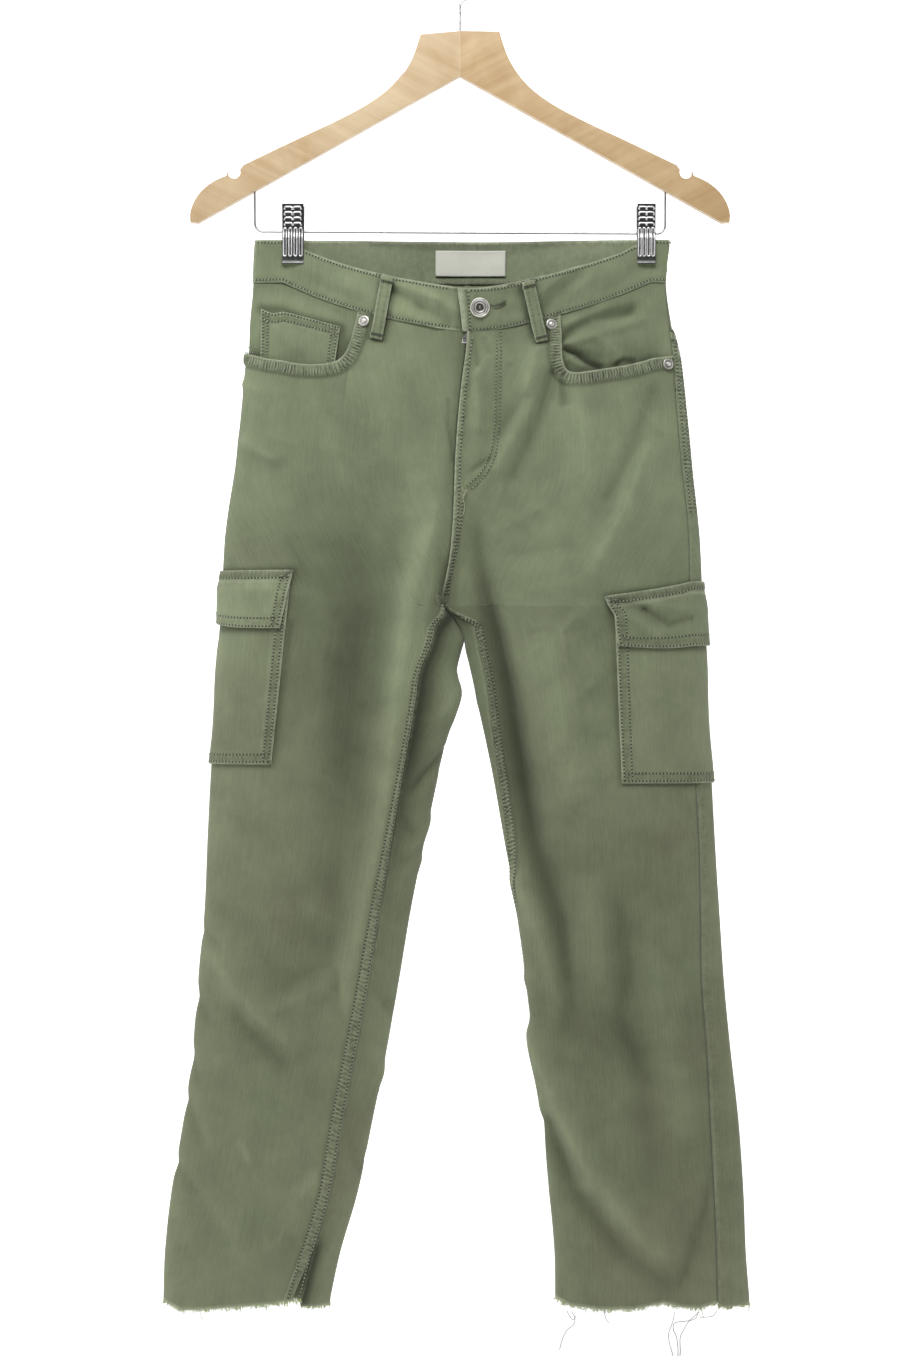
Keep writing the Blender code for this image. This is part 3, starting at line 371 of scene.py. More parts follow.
# Folds: side, face, x and drop at the start and the end, half width, height (a ridge where positive).
# Face 1 is the front panel, -1 the back panel where it turns to the front, -2 the rest of the back.
FOLDS = [
    # right leg: the deep fall from the crotch, and the rolls beside it
    (1, 1, 78, 585, 96, 720, 16, 4),
    (1, 1, 51, 795, 68, 836, 8, 5),
    (1, 1, 68, 836, 86, 900, 8, 5),
    (1, 1, 112, 800, 128, 900, 12, 3),
    (1, 1, 66, 600, 100, 570, 8, 3),
    (1, 1, 84, 650, 112, 628, 6, 2),
    # the fly
    (1, 1, 9, 298, 15, 334, 4, -2.4),
    (1, 1, 14, 338, 16, 404, 4.5, 2.4),
    (1, 1, 21, 336, 22, 400, 3.5, -1.8),
    (1, 1, 26, 300, 40, 330, 5, 1.8),
    (1, 1, 20, 298, 24, 316, 3, -1.8),
    (1, 1, 52, 376, 36, 412, 8, -4),
    (1, 1, 10, 448, 24, 438, 3, -2.4),
    # right hip
    (1, 1, 64, 322, 50, 393, 9, 4),
    (1, 1, 50, 393, 32, 446, 9, 4),
    (1, 1, 78, 352, 66, 400, 7, -5),
    (1, 1, 66, 400, 46, 452, 7, -4.4),
    (1, 1, 86, 352, 89, 384, 5, -4),
    (1, 1, 98, 372, 110, 450, 9, 2.5),
    (1, 1, 162, 385, 150, 425, 8, -4),
    (1, 1, 150, 425, 127, 470, 8, -4),
    (1, 1, 158, 430, 142, 480, 9, 4),
    (1, 1, 142, 480, 112, 530, 9, 3.5),
    (1, 1, 30, 500, 70, 478, 6, 1.6),
    (1, 1, 40, 520, 92, 512, 6, -1.6),
    # right shin
    (1, 1, 132, 818, 140, 863, 14, -5),
    (1, 1, 140, 863, 135, 908, 14, -6),
    (1, 1, 135, 908, 156, 960, 15, -6),
    (1, 1, 156, 960, 164, 1050, 15, -4),
    (1, 1, 164, 860, 190, 1000, 12, 3),
    (1, 1, 60, 925, 84, 985, 9, 6),
    (1, 1, 84, 985, 116, 1048, 10, 8),
    (1, 1, 116, 1048, 168, 1112, 10, 6),
    (1, 1, 76, 1000, 96, 1056, 9, -6),
    (1, 1, 96, 1056, 140, 1108, 9, -6),
    (1, 1, 140, 1108, 178, 1138, 9, -4),
    (1, 1, 214, 1040, 203, 1085, 5, -3.5),
    (1, 1, 203, 1085, 186, 1136, 6, -4),
    (1, 1, 73, 968, 81, 976, 3, 1.6),
    (1, 1, 75, 984, 84, 992, 3, 1.6),
    (1, 1, 77, 999, 86, 1006, 3, 1.5),
    # left thigh, the roll along the inseam
    (-1, 1, 82, 540, 90, 640, 24, -4.5),
    (-1, 1, 90, 640, 98, 740, 22, -4),
    (-1, 1, 98, 740, 108, 850, 18, -3),
    (-1, 1, 20, 590, 34, 700, 12, -1.5),
    (-1, 1, 112, 560, 118, 660, 12, 2),
    # left hip
    (-1, 1, 180, 423, 160, 438, 5, 3),
    (-1, 1, 176, 436, 150, 446, 6, -2.2),
    (-1, 1, 120, 392, 90, 470, 10, 2.5),
    (-1, 1, 70, 330, 60, 430, 10, 2),
    (-1, 1, 40, 350, 30, 420, 9, -2),
    (-1, 1, 186, 372, 170, 380, 4, 1.5),
    # left knee and shin
    (-1, 1, 206, 862, 168, 912, 9, 4),
    (-1, 1, 168, 912, 140, 934, 8, 4),
    (-1, 1, 186, 912, 150, 950, 8, -3.5),
    (-1, 1, 158, 905, 104, 878, 8, 2.4),
    (-1, 1, 150, 885, 106, 862, 8, -2),
    (-1, 1, 105, 872, 100, 912, 6, -2.2),
    (-1, 1, 124, 820, 85, 838, 6, 2),
    (-1, 1, 216, 838, 205, 850, 4.5, -2.4),
    (-1, 1, 227, 890, 213, 912, 6, -2.4),
    (-1, 1, 231, 940, 222, 964, 6, -2.2),
    (-1, 1, 232, 981, 219, 1014, 6, -2.6),
    (-1, 1, 242, 1034, 226, 1053, 6, -2.4),
    (-1, 1, 124, 1048, 158, 1103, 7, 3.6),
    (-1, 1, 133, 1065, 156, 1096, 5, -2.2),
    (-1, 1, 184, 1016, 174, 1032, 4, 2.5),
    (-1, 1, 210, 1060, 180, 1110, 10, 3),
    # left leg's back where it turns to the front
    (-1, -1, 41, 719, 14, 686, 4, -4.5),
    (-1, -1, 50, 742, 40, 757, 4, -3.5),
    (-1, -1, 46, 772, 26, 742, 5, 2.5),
    (-1, -1, 55, 800, 38, 777, 6, 2.6),
    (-1, -1, 75, 886, 57, 910, 5, -3),
    (-1, -1, 72, 940, 66, 968, 5, 2.5),
    (-1, -1, 98, 1010, 86, 1042, 6, -3),
    (-1, -1, 2, 630, 14, 654, 9, 5),
    (-1, -1, 24, 615, 26, 650, 6, -4),
    # the back of both legs
    (-1, -2, 30, 560, 60, 700, 14, -9),
    (-1, -2, 60, 700, 90, 860, 15, -6),
    (-1, -2, 150, 600, 120, 720, 14, 5),
    (-1, -2, 170, 880, 100, 930, 8, 4),
    (-1, -2, 180, 905, 120, 960, 8, -4),
    (-1, -2, 200, 1040, 150, 1100, 9, 5),
    (-1, -2, 130, 410, 70, 480, 11, 4),
    (1, -2, 30, 565, 70, 690, 14, -8),
    (1, -2, 70, 690, 95, 850, 15, -6),
    (1, -2, 140, 760, 110, 840, 11, 5),
    (1, -2, 190, 870, 120, 940, 8, 4),
    (1, -2, 180, 900, 110, 975, 8, -4),
    (1, -2, 110, 1060, 190, 1110, 9, 5),
    (1, -2, 120, 400, 60, 470, 11, 4),
]
# Small random creases between the main ones: side, face and how many
for crease_side, crease_face, count in ((-1, 1, 46), (1, 1, 46), (-1, -2, 30), (1, -2, 30)):
    for _ in range(count):
        d0 = rng.uniform(360, 1130)
        x0 = rng.uniform(20 if d0 < 560 else 20 + (d0 - 560) * 0.13, 200)
        turn, long = rng.normal(0.2, 0.75), rng.uniform(14, 52)
        x1, d1 = x0 - long * math.cos(turn), d0 + long * math.sin(turn)
        FOLDS.append((crease_side, crease_face, x0, d0, x1, d1,
                      rng.uniform(2.6, 7), rng.choice((-1, 1)) * rng.uniform(0.4, 1.3)))


def row_at(table, drop):
    """A table's columns at any drops, on smooth curves through its rows."""
    drop = np.clip(drop, table[0, 0], table[-1, 0])
    low = np.clip(np.searchsorted(table[:, 0], drop, side="right") - 1, 0, len(table) - 2)
    span = (table[low + 1, 0] - table[low, 0])[..., None]
    part = (drop - table[low, 0])[..., None] / span
    before, after = np.maximum(low - 1, 0), np.minimum(low + 2, len(table) - 1)
    rise_a = (table[low + 1] - table[before]) / (table[low + 1, 0] - table[before, 0])[..., None] * span
    rise_b = (table[after] - table[low]) / (table[after, 0] - table[low, 0])[..., None] * span
    cubic = (2 * part**3 - 3 * part**2 + 1) * table[low] + (part**3 - 2 * part**2 + part) * rise_a
    cubic = cubic + (3 * part**2 - 2 * part**3) * table[low + 1] + (part**3 - part**2) * rise_b
    return np.moveaxis(cubic[..., 1:], -1, 0)


def ring(half, front, back, pinch, roundness, angle):
    across = np.cos(angle)
    ahead = np.sin(angle) >= 0
    inside = np.minimum(np.abs(across) / PINCH_AT, 1.0)
    shape = 1 - pinch + pinch * (1 - inside**2) ** 2
    reach = PINCH_HALF + (np.where(ahead, front, back) - PINCH_HALF) * shape
    closing = np.sqrt(np.maximum(0.0, 1 - np.abs(across) ** roundness))
    return half * across, reach * closing * np.where(ahead, -1, 1)


def inset_angle(inset, half):
    return np.copysign(np.arccos(1 - np.minimum(np.abs(inset) / half, 1.9)), inset)


for table in LEGS.values():
    for insets in (5, 6):
        table[:, insets] = inset_angle(table[:, insets], (table[:, 1] - table[:, 2]) / 2)


def torso_point(side, t, drop):
    left, right, front, back, pinch, roundness, seam_left, seam_right, centre = row_at(TORSO, drop)
    middle, half = (right - left) / 2, (right + left) / 2
    start = inset_angle(seam_right if side > 0 else seam_left, half)
    end = np.arccos(side * (centre - middle) / half) * np.where(t < 0, -1, 1)
    across, depth = ring(half, front, back, pinch, roundness, start + np.abs(t) * (end - start))
    return np.stack([middle + side * across, depth, -drop], -1)


def leg_point(side, t, drop):
    outer, inner, front, back, start, turn_in = row_at(LEGS[side], drop)
    middle, half = (outer + inner) / 2, (outer - inner) / 2
    end = np.where(t < 0, -math.pi, math.pi)
    angle = start + np.abs(t) * (end - start) - np.abs(t) ** 3 * turn_in
    across, depth = ring(half, front, back, 0.0, LEG_ROUNDNESS, angle)
    return np.stack([side * (middle + across), depth, -drop], -1)


def waist_dip(x, drop):
    aside = np.minimum(np.abs(x) / np.where(x > 0, DIP_HALF_WIDTH + 12, DIP_HALF_WIDTH), 1.0)
    fade = np.clip((DIP_END - drop) / (DIP_END - BAND_LOW), 0.0, 1.0) ** 1.5
    droop = 4.4 * bell(x, 22, 42)
    return (WAIST_DIP * (1 - aside**1.8) + droop) * fade


def bell(value, middle, width):
    """A smooth bump of 1 at its middle."""
    return np.exp(-(((value - middle) / width) ** 2))


def fading(distance, reach):
    """1 at an edge, falling away from it."""
    return np.exp(-distance / reach)


def smooth_step(value, low, high):
    part = np.clip((value - low) / (high - low), 0.0, 1.0)
    return part * part * (3 - 2 * part)


def base_point(side, t, drop):
    """The smooth outside of the cloth, before its folds."""
    blend = np.clip((drop - BLEND_TOP) / (CROTCH - BLEND_TOP), 0.0, 1.0)
    rounded = 1 - np.sqrt(1 - blend * blend)
    smooth = blend * blend * (3 - 2 * blend)
    weight = (smooth + (rounded - smooth) * t**14)[..., None]
    point = torso_point(side, t, drop) * (1 - weight) + leg_point(side, t, drop) * weight
    drop_more = waist_dip(point[..., 0], drop) * np.clip(-point[..., 1] / PINCH_HALF, 0.0, 1.0)
    point[..., 2] -= drop_more
    return point


# Long rolls of changing size: side, then x, drop, half width and height along each.
ROLLS = (
    (1, ((8, 470, 6, 0), (14, 505, 7.5, -3), (17, 528, 8.5, -6.5), (23, 557, 10, -10.5), (29, 592, 12, -13.5),
         (39, 640, 13.5, -15), (50, 705, 14, -14.5), (62, 760, 13.8, -12), (84, 830, 12.8, -8.5),
         (92, 900, 12, -5), (97, 945, 12, 0))),
    (-1, ((14, 465, 8, 0), (24, 500, 10, 5), (38, 548, 12.5, 7.5), (47, 610, 13.5, 9), (57, 690, 12.5, 8.5),
          (66, 750, 11.5, 7), (80, 815, 11, 5.5), (96, 890, 10, 3.5), (100, 935, 10, 0))),
)


def fold_height(side, t, point, drop):
    """How far the folds stand out: the highest ridge and the deepest trough at each place."""
    ridge, trough = np.zeros_like(drop), np.zeros_like(drop)
    x, ahead = np.abs(point[..., 0]), point[..., 1] < 0
    for fold_side, face, x0, drop0, x1, drop1, width, height in FOLDS:
        if fold_side != side:
            continue
        here = (t > 0) if face == 1 else ((t < 0) & ahead if face == -1 else (t < 0) & ~ahead)
        run = np.array((x1 - x0, drop1 - drop0), float)
        part = np.clip(((x - x0) * run[0] + (drop - drop0) * run[1]) / (run @ run), 0.0, 1.0)
        away = np.hypot(x - x0 - part * run[0], drop - drop0 - part * run[1]) / width
        even = 0.88 if face > -2 else 0.35
        rise = height * np.exp(-away**1.7) * (even + (1 - even) * np.sin(math.pi * part)) * here
        ridge, trough = np.maximum(ridge, rise), np.minimum(trough, rise)
    for roll_side, path in ROLLS:
        if roll_side == side:
            line = np.array(path, float)
            run = np.concatenate([[0], np.cumsum(np.hypot(*np.diff(line[:, :2], axis=0).T))])
            away, at = line_distance(x, drop, line[:, :2])
            half, high = np.interp(at, run, line[:, 2]), np.interp(at, run, line[:, 3])
            rise = high * np.exp(-((away / half) ** 1.7)) * (t > 0)
            ridge, trough = np.maximum(ridge, rise), np.minimum(trough, rise)
    edge = np.clip(np.minimum(np.abs(t), 1 - np.abs(t)) / 0.05, 0.0, 1.0)
    return (ridge + trough) * edge * edge * (3 - 2 * edge)


WAVES = [(rng.uniform(0.006, 0.03), rng.uniform(0.004, 0.02), rng.uniform(0, 6.28), rng.uniform(0.15, 0.45))
         for _ in range(14)]


def drape(side, t, drop):
    """Low uneven waves of hanging cloth."""
    total = np.zeros_like(drop)
    across = t * 190.0 + side * 400
    for k, (wide, tall, phase, size) in enumerate(WAVES):
        total += size * np.sin(across * wide * (1 if k % 2 else -1) + drop * tall + phase)
    return total * smooth_step(np.abs(t), 0.0, 0.08) * smooth_step(1 - np.abs(t), 0.0, 0.08)


def cloth_point(side, t, drop):
    """The folded outside of the cloth at arrays of t and drop, with its rough normal."""
    t, drop = np.broadcast_arrays(np.asarray(t, float), np.asarray(drop, float))
    base = base_point(side, t, drop)
    step = np.where(np.abs(t) > 0.998, -np.sign(t) * 1e-3, 1e-3)
    fall = np.where(drop < CROTCH, -0.4, 0.4)
    across = (base_point(side, t + step, drop) - base) / step[..., None]
    down = (base_point(side, t, drop + fall) - base) / fall[..., None]
    normal = np.cross(across, down) * side
    normal /= np.maximum(np.linalg.norm(normal, axis=-1, keepdims=True), 1e-9)
    height = fold_height(side, t, base, drop) + drape(side, t, drop)
    return base + normal * height[..., None], normal


def crease_shade(side, t, drop):
    """Where the cloth lies in a trough, from 0 to 1 and up to 1.3, as painted shade; on ridges it goes down
    to -0.6, as painted highlight.
    """
    t, drop = np.broadcast_arrays(np.asarray(t, float), np.asarray(drop, float))
    return np.clip(-fold_height(side, t, base_point(side, t, drop), drop) / 11.0, -0.6, 1.3)


def t_at(side, x, drop, front=True):
    """The t of a place on the front or the back, from its distance across."""
    x, drop = np.broadcast_arrays(np.asarray(x, float), np.asarray(drop, float))
    near, far = np.zeros(x.shape), np.full(x.shape, 1.0 if front else -1.0)
    for _ in range(26):
        middle = (near + far) / 2
        beyond = side * base_point(side, middle, drop)[..., 0] > side * x
        near, far = np.where(beyond, middle, near), np.where(beyond, far, middle)
    return (near + far) / 2


def surface(side, t, drop, out=0.0):
    point, normal = cloth_point(side, t, drop)
    return point + normal * np.asarray(out, float)[..., None], normal


def locate(side, x, down, front=True):
    """The t and drop of a place on the front or the back, from its distance across and its depth below."""
    x, down = np.asarray(x, float), np.asarray(down, float)
    drop = down.copy()
    if front:
        for _ in range(12):
            drop = down - waist_dip(x, drop)
    return t_at(side, x, drop, front), drop


def even_t(side, drop, low, high, spacing):
    """Columns from one t to another at even steps round the cloth."""
    t = np.linspace(low, high, 1600)
    arc = arc_length(base_point(side, t, np.full(t.shape, float(drop))))
    return np.interp(np.linspace(0, arc[-1], round(arc[-1] / spacing) + 1), arc, t)


def arc_length(points):
    steps = np.linalg.norm(np.diff(points, axis=0), axis=-1)
    return np.concatenate([np.zeros((1,) + steps.shape[1:]), np.cumsum(steps, axis=0)])


def curve_through(points, count=200):
    """Evenly spaced places on a smooth curve through a few points."""
    points = np.array(points, float)
    chord = arc_length(points)
    table = np.concatenate([chord[:, None], points], 1)
    fine = np.stack(row_at(table, np.linspace(0, chord[-1], 1200)), -1)
    arc = arc_length(fine)
    at = np.linspace(0, arc[-1], count)
    return np.stack([np.interp(at, arc, fine[:, k]) for k in range(points.shape[1])], -1)


def line_distance(x, down, path):
    """Distance to a line in the front view, and how far along the line the nearest place is."""
    best, along, run = np.full(x.shape, 1e9), np.zeros(x.shape), 0.0
    for (x0, d0), (x1, d1) in zip(path, path[1:]):
        length = math.hypot(x1 - x0, d1 - d0)
        if length < 1e-6:
            continue
        part = np.clip(((x - x0) * (x1 - x0) + (down - d0) * (d1 - d0)) / length**2, 0.0, 1.0)
        away = np.hypot(x - x0 - part * (x1 - x0), down - d0 - part * (d1 - d0))
        along = np.where(away < best, run + part * length, along)
        best, run = np.minimum(best, away), run + length
    return best, along


def t_in(side, drop, inset, end):
    """The t that lies so many millimetres in from a panel's end."""
    toward = 1.0 if end == 0 else -1.0
    near = 0.012 if end == 0 else 0.015
    sign = -1.0 if end < 0 else 1.0
    drop = np.asarray(drop, float)
    a = base_point(side, sign * (abs(end) + toward * near * 0.2) * np.ones(drop.shape), drop)
    b = base_point(side, sign * (abs(end) + toward * near) * np.ones(drop.shape), drop)
    rate = np.linalg.norm(b - a, axis=-1) / (near * 0.8)
    return sign * (abs(end) + toward * inset / rate)


# ---- Making pieces ----

RIPPLE, FINE_RIPPLE = 3.7, 2.35
NEEDLE = {"front": [], "back": []}


def settle(piece, nodes=()):
    bpy.context.scene.collection.objects.link(piece)
    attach(piece, "root")
    if nodes:
        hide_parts(*nodes)
    return piece


def grid_mesh(name, points, normals, values, paint):
    """A grid of columns by rows, with its values at each point, facing along the normals."""
    columns, rows = points.shape[:2]
    bm = bmesh.new()
    bmesh.ops.create_grid(bm, x_segments=columns - 1, y_segments=rows - 1, size=1.0)
    mesh = bpy.data.meshes.new(name)
    bm.to_mesh(mesh)
    bm.free()
    mesh.vertices.foreach_set("co", (points.transpose(1, 0, 2) * MM).ravel())
    for key, value in values.items():
        kind = "FLOAT_VECTOR" if value.ndim == 3 else "FLOAT"
        layer = mesh.attributes.new(key, kind, "POINT")
        flat = value.transpose(1, 0, 2) if value.ndim == 3 else value.T
        layer.data.foreach_set("vector" if value.ndim == 3 else "value", flat.astype(np.float32).ravel())
    mesh.update()
    spot = len(mesh.polygons) // 2
    first = mesh.polygons[spot].vertices[0]
    aim = normals[first % columns, first // columns]
    if Vector(aim).dot(mesh.polygons[spot].normal) < 0:
        mesh.flip_normals()
    mesh.shade_smooth()
    mesh.materials.append(paint)
    return mesh


def cloth_values(points, drop, seam=None, along=None, worn=None, deep=None):
    arc = arc_length(points)
    middle = arc[points.shape[0] // 2]
    cut = np.stack([arc - middle, np.broadcast_to(drop, arc.shape), np.zeros(arc.shape)], -1)
    still = np.zeros(arc.shape)
    return {"cut": cut, "seam": still if seam is None else seam, "along": still if along is None else along,
            "worn": still if worn is None else worn, "deep": still if deep is None else deep}


def cloth_sheet(node, points, normals, values, thick, paint=None, rounded=0.0):
    """One node's cloth: a thin wall behind the grid, with a turned edge where rounded."""
    name = "cloth_" + node
    mesh = grid_mesh(name, points, normals, values, paint or OLIVE)
    piece = bpy.data.objects.new(name, mesh)
    wall = piece.modifiers.new("wall", "SOLIDIFY")
    wall.thickness, wall.offset, wall.use_even_offset = thick * MM, -1, False
    if rounded:
        edge = piece.modifiers.new("turned_edge", "BEVEL")
        edge.width, edge.segments, edge.limit_method = rounded * MM, 2, "ANGLE"
        edge.angle_limit, edge.offset_type, edge.profile = math.radians(60), "WIDTH", 0.5
        edge.use_clamp_overlap = True
    settle(piece, [node])
    return piece


def near_line(x, drop, path, width):
    """1 on a line, falling away beside it."""
    return bell(line_distance(x, drop, path)[0], 0, width)


def raised(distance, start, width, height):
    """A strip that stands proud, with soft edges."""
    end = smooth_step(distance, start + width - 1.4, start + width + 0.9)
    return height * smooth_step(distance, start, start + 1.2) * (1 - end)


def groove(distance, deep, wide):
    return -deep * np.exp(-((distance / wide) ** 2))


def side_name(side):
    return "left" if side < 0 else "right"


def sew(layer, points, normals, pitch=3.1, length=2.1, thick=0.58, ends=0.0):
    """Marks a row of stitches along a line of points."""
    arc = arc_length(points)
    if arc[-1] < 2 * ends + pitch:
        return
    at = np.linspace(ends, arc[-1] - ends, round((arc[-1] - 2 * ends) / pitch) + 1)
    place = np.stack([np.interp(at, arc, points[:, k]) for k in range(3)], -1)
    up = np.stack([np.interp(at, arc, normals[:, k]) for k in range(3)], -1)
    ahead = np.gradient(place, axis=0)
    NEEDLE[layer].append((place, up, ahead, length, thick))


def sew_on(layer, side, t, drop, out, **settings):
    points, normals = surface(side, t, drop, out)
    sew(layer, points, normals, **settings)


# ---- Leg panels ----

HEM_WAVE = {
    -1: ((251, 1154.0), (236, 1161), (203, 1158.5), (180, 1156.5), (157, 1155), (136, 1152), (127, 1151),
         (110, 1158)),
    1: ((81, 1152), (93, 1157), (120, 1159.5), (147, 1158.5), (171, 1153.5), (188, 1157), (201, 1158),
        (217, 1154.5), (231, 1158), (246, 1155.5)),
}
MOUTH = {
    -1: ((190, 345), (156, 354), (131, 354), (107, 347), (98, 338), (92, 322), (88, 301), (85, 287)),
    1: ((190, 348), (174, 351), (149.6, 354.5), (122.4, 354.8), (102, 354.8), (95, 353.6), (89.6, 350),
        (86.2, 340), (85.2, 329.4), (85, 311.8), (84.3, 300.9), (83.5, 287)),
}
MOUTH_BASE = 400.0
YOKE_SIDE, YOKE_CENTRE = 326.0, 350.0
SLIT_TOP = 1100.0
MOUTH_BAND, SEAM_BAND, FLY_BAND = 9.6, 9.4, 6.0
FLY_END = 468.0
FLY_KNOT = (((1.2, 462), (3.2, 465.5), (6.2, 463), (4.2, 467), (1.6, 469)),
            ((4.0, 466.5), (2.2, 472), (3.6, 478), (1.8, 485)))
J_STITCH = ((32.4, 330), (31.9, 388), (30.6, 418), (26.8, 437), (18.6, 452), (9.0, 461))


def hem_drop(side, x, turned):
    """The raw edge's drop at a place across."""
    path = sorted(HEM_WAVE[side])
    edge = np.interp(np.abs(x), [k[0] for k in path], [k[1] - 3.2 for k in path])
    return np.where(turned, HEM + 3.5 + 1.2 * np.sin(x * 0.09), np.maximum(edge, HEM - 1.5))


def mouth_drop(side, t):
    """The drop of the pocket mouth at columns of a front, from the distance across."""
    path = curve_through(MOUTH[side], 400)[::-1]
    across = np.maximum.accumulate(path[:, 0] + np.arange(len(path)) * 1e-5)
    drop = np.full(t.shape, 340.0)
    for _ in range(150):
        x = side * base_point(side, t, drop)[..., 0]
        drop += 0.1 * (np.interp(x, across, path[:, 1]) - drop)
    return np.where(x < across[0], BAND_LOW, drop)


def front_columns(side):
    """Columns at even steps, closer where the pocket mouth runs down to the waistband."""
    t = np.linspace(0, 1, 2400)
    low = arc_length(base_point(side, t, np.full(t.shape, 620.0)))
    rim = arc_length(base_point(side, t, mouth_drop(side, t)))
    cost = np.concatenate([[0], np.cumsum(np.maximum(np.diff(low) / 2.6, np.diff(rim) / 1.95))])
    return np.interp(np.linspace(0, cost[-1], round(cost[-1]) + 1), cost, t)


def pocket_edge_shadow(side, x, drop):
    """Painted shadow along the edges of the cargo pocket and its flap."""
    (x_top, x_foot), _, top, foot = CARGO[side][:4]
    shade = 0.55 * near_line(x, drop, ((x_top, top + 30), (x_foot, foot), (side * 215, foot)), 3.4)
    (x_top, x_foot), _, top, foot, slope, _ = FLAPS[side]
    flap = near_line(x, drop, ((side * 215, top), (x_top, top + slope), (x_foot, foot + 1)), 3.2)
    return np.maximum(shade, 0.7 * flap)


def patch(x, drop, middle, reach):
    """A soft oval of 1 at its middle."""
    return np.exp(-((x - middle[0]) / reach[0]) ** 2 - ((drop - middle[1]) / reach[1]) ** 2)


# Patches of painted shade on the fronts: middle, reach and size; a negative size is painted highlight
SHADES = {
    -1: (((-104, 600), (46, 120), 0.68), ((-120, 430), (60, 70), 0.1), ((-150, 820), (60, 110), 0.16),
         ((-34, 575), (16, 95), -0.65), ((-46, 690), (14, 90), -0.4)),
    1: (((130, 430), (70, 60), -0.42), ((150, 900), (90, 130), 0.24), ((140, 1060), (90, 100), 0.2),
        ((26, 640), (18, 70), -0.1)),
}


def shading(side, x, drop):
    """Broad patches of painted shade, and of painted highlight where a size is negative."""
    return sum(size * patch(x, drop, middle, reach) for middle, reach, size in SHADES[side])


def seam_width(drop):
    """The inseam's sewn band: narrow at the crotch and wider below."""
    return 6.0 + (SEAM_BAND - 6.0) * smooth_step(drop, 640, 900)


def leg_rows(top, step):
    """Shares of the way from a drop to the hem: even rows, closer below the crotch."""
    even = np.concatenate([np.arange(top, CROTCH - 8, step), np.arange(CROTCH - 8, CROTCH + 34, 1.05),
                           np.arange(CROTCH + 34, HEM, step), [HEM]])
    return (even - top) / (HEM - top)


MOUTH_ROWS = 60  # the rows of a front, from its top, that the pocket mouth shapes


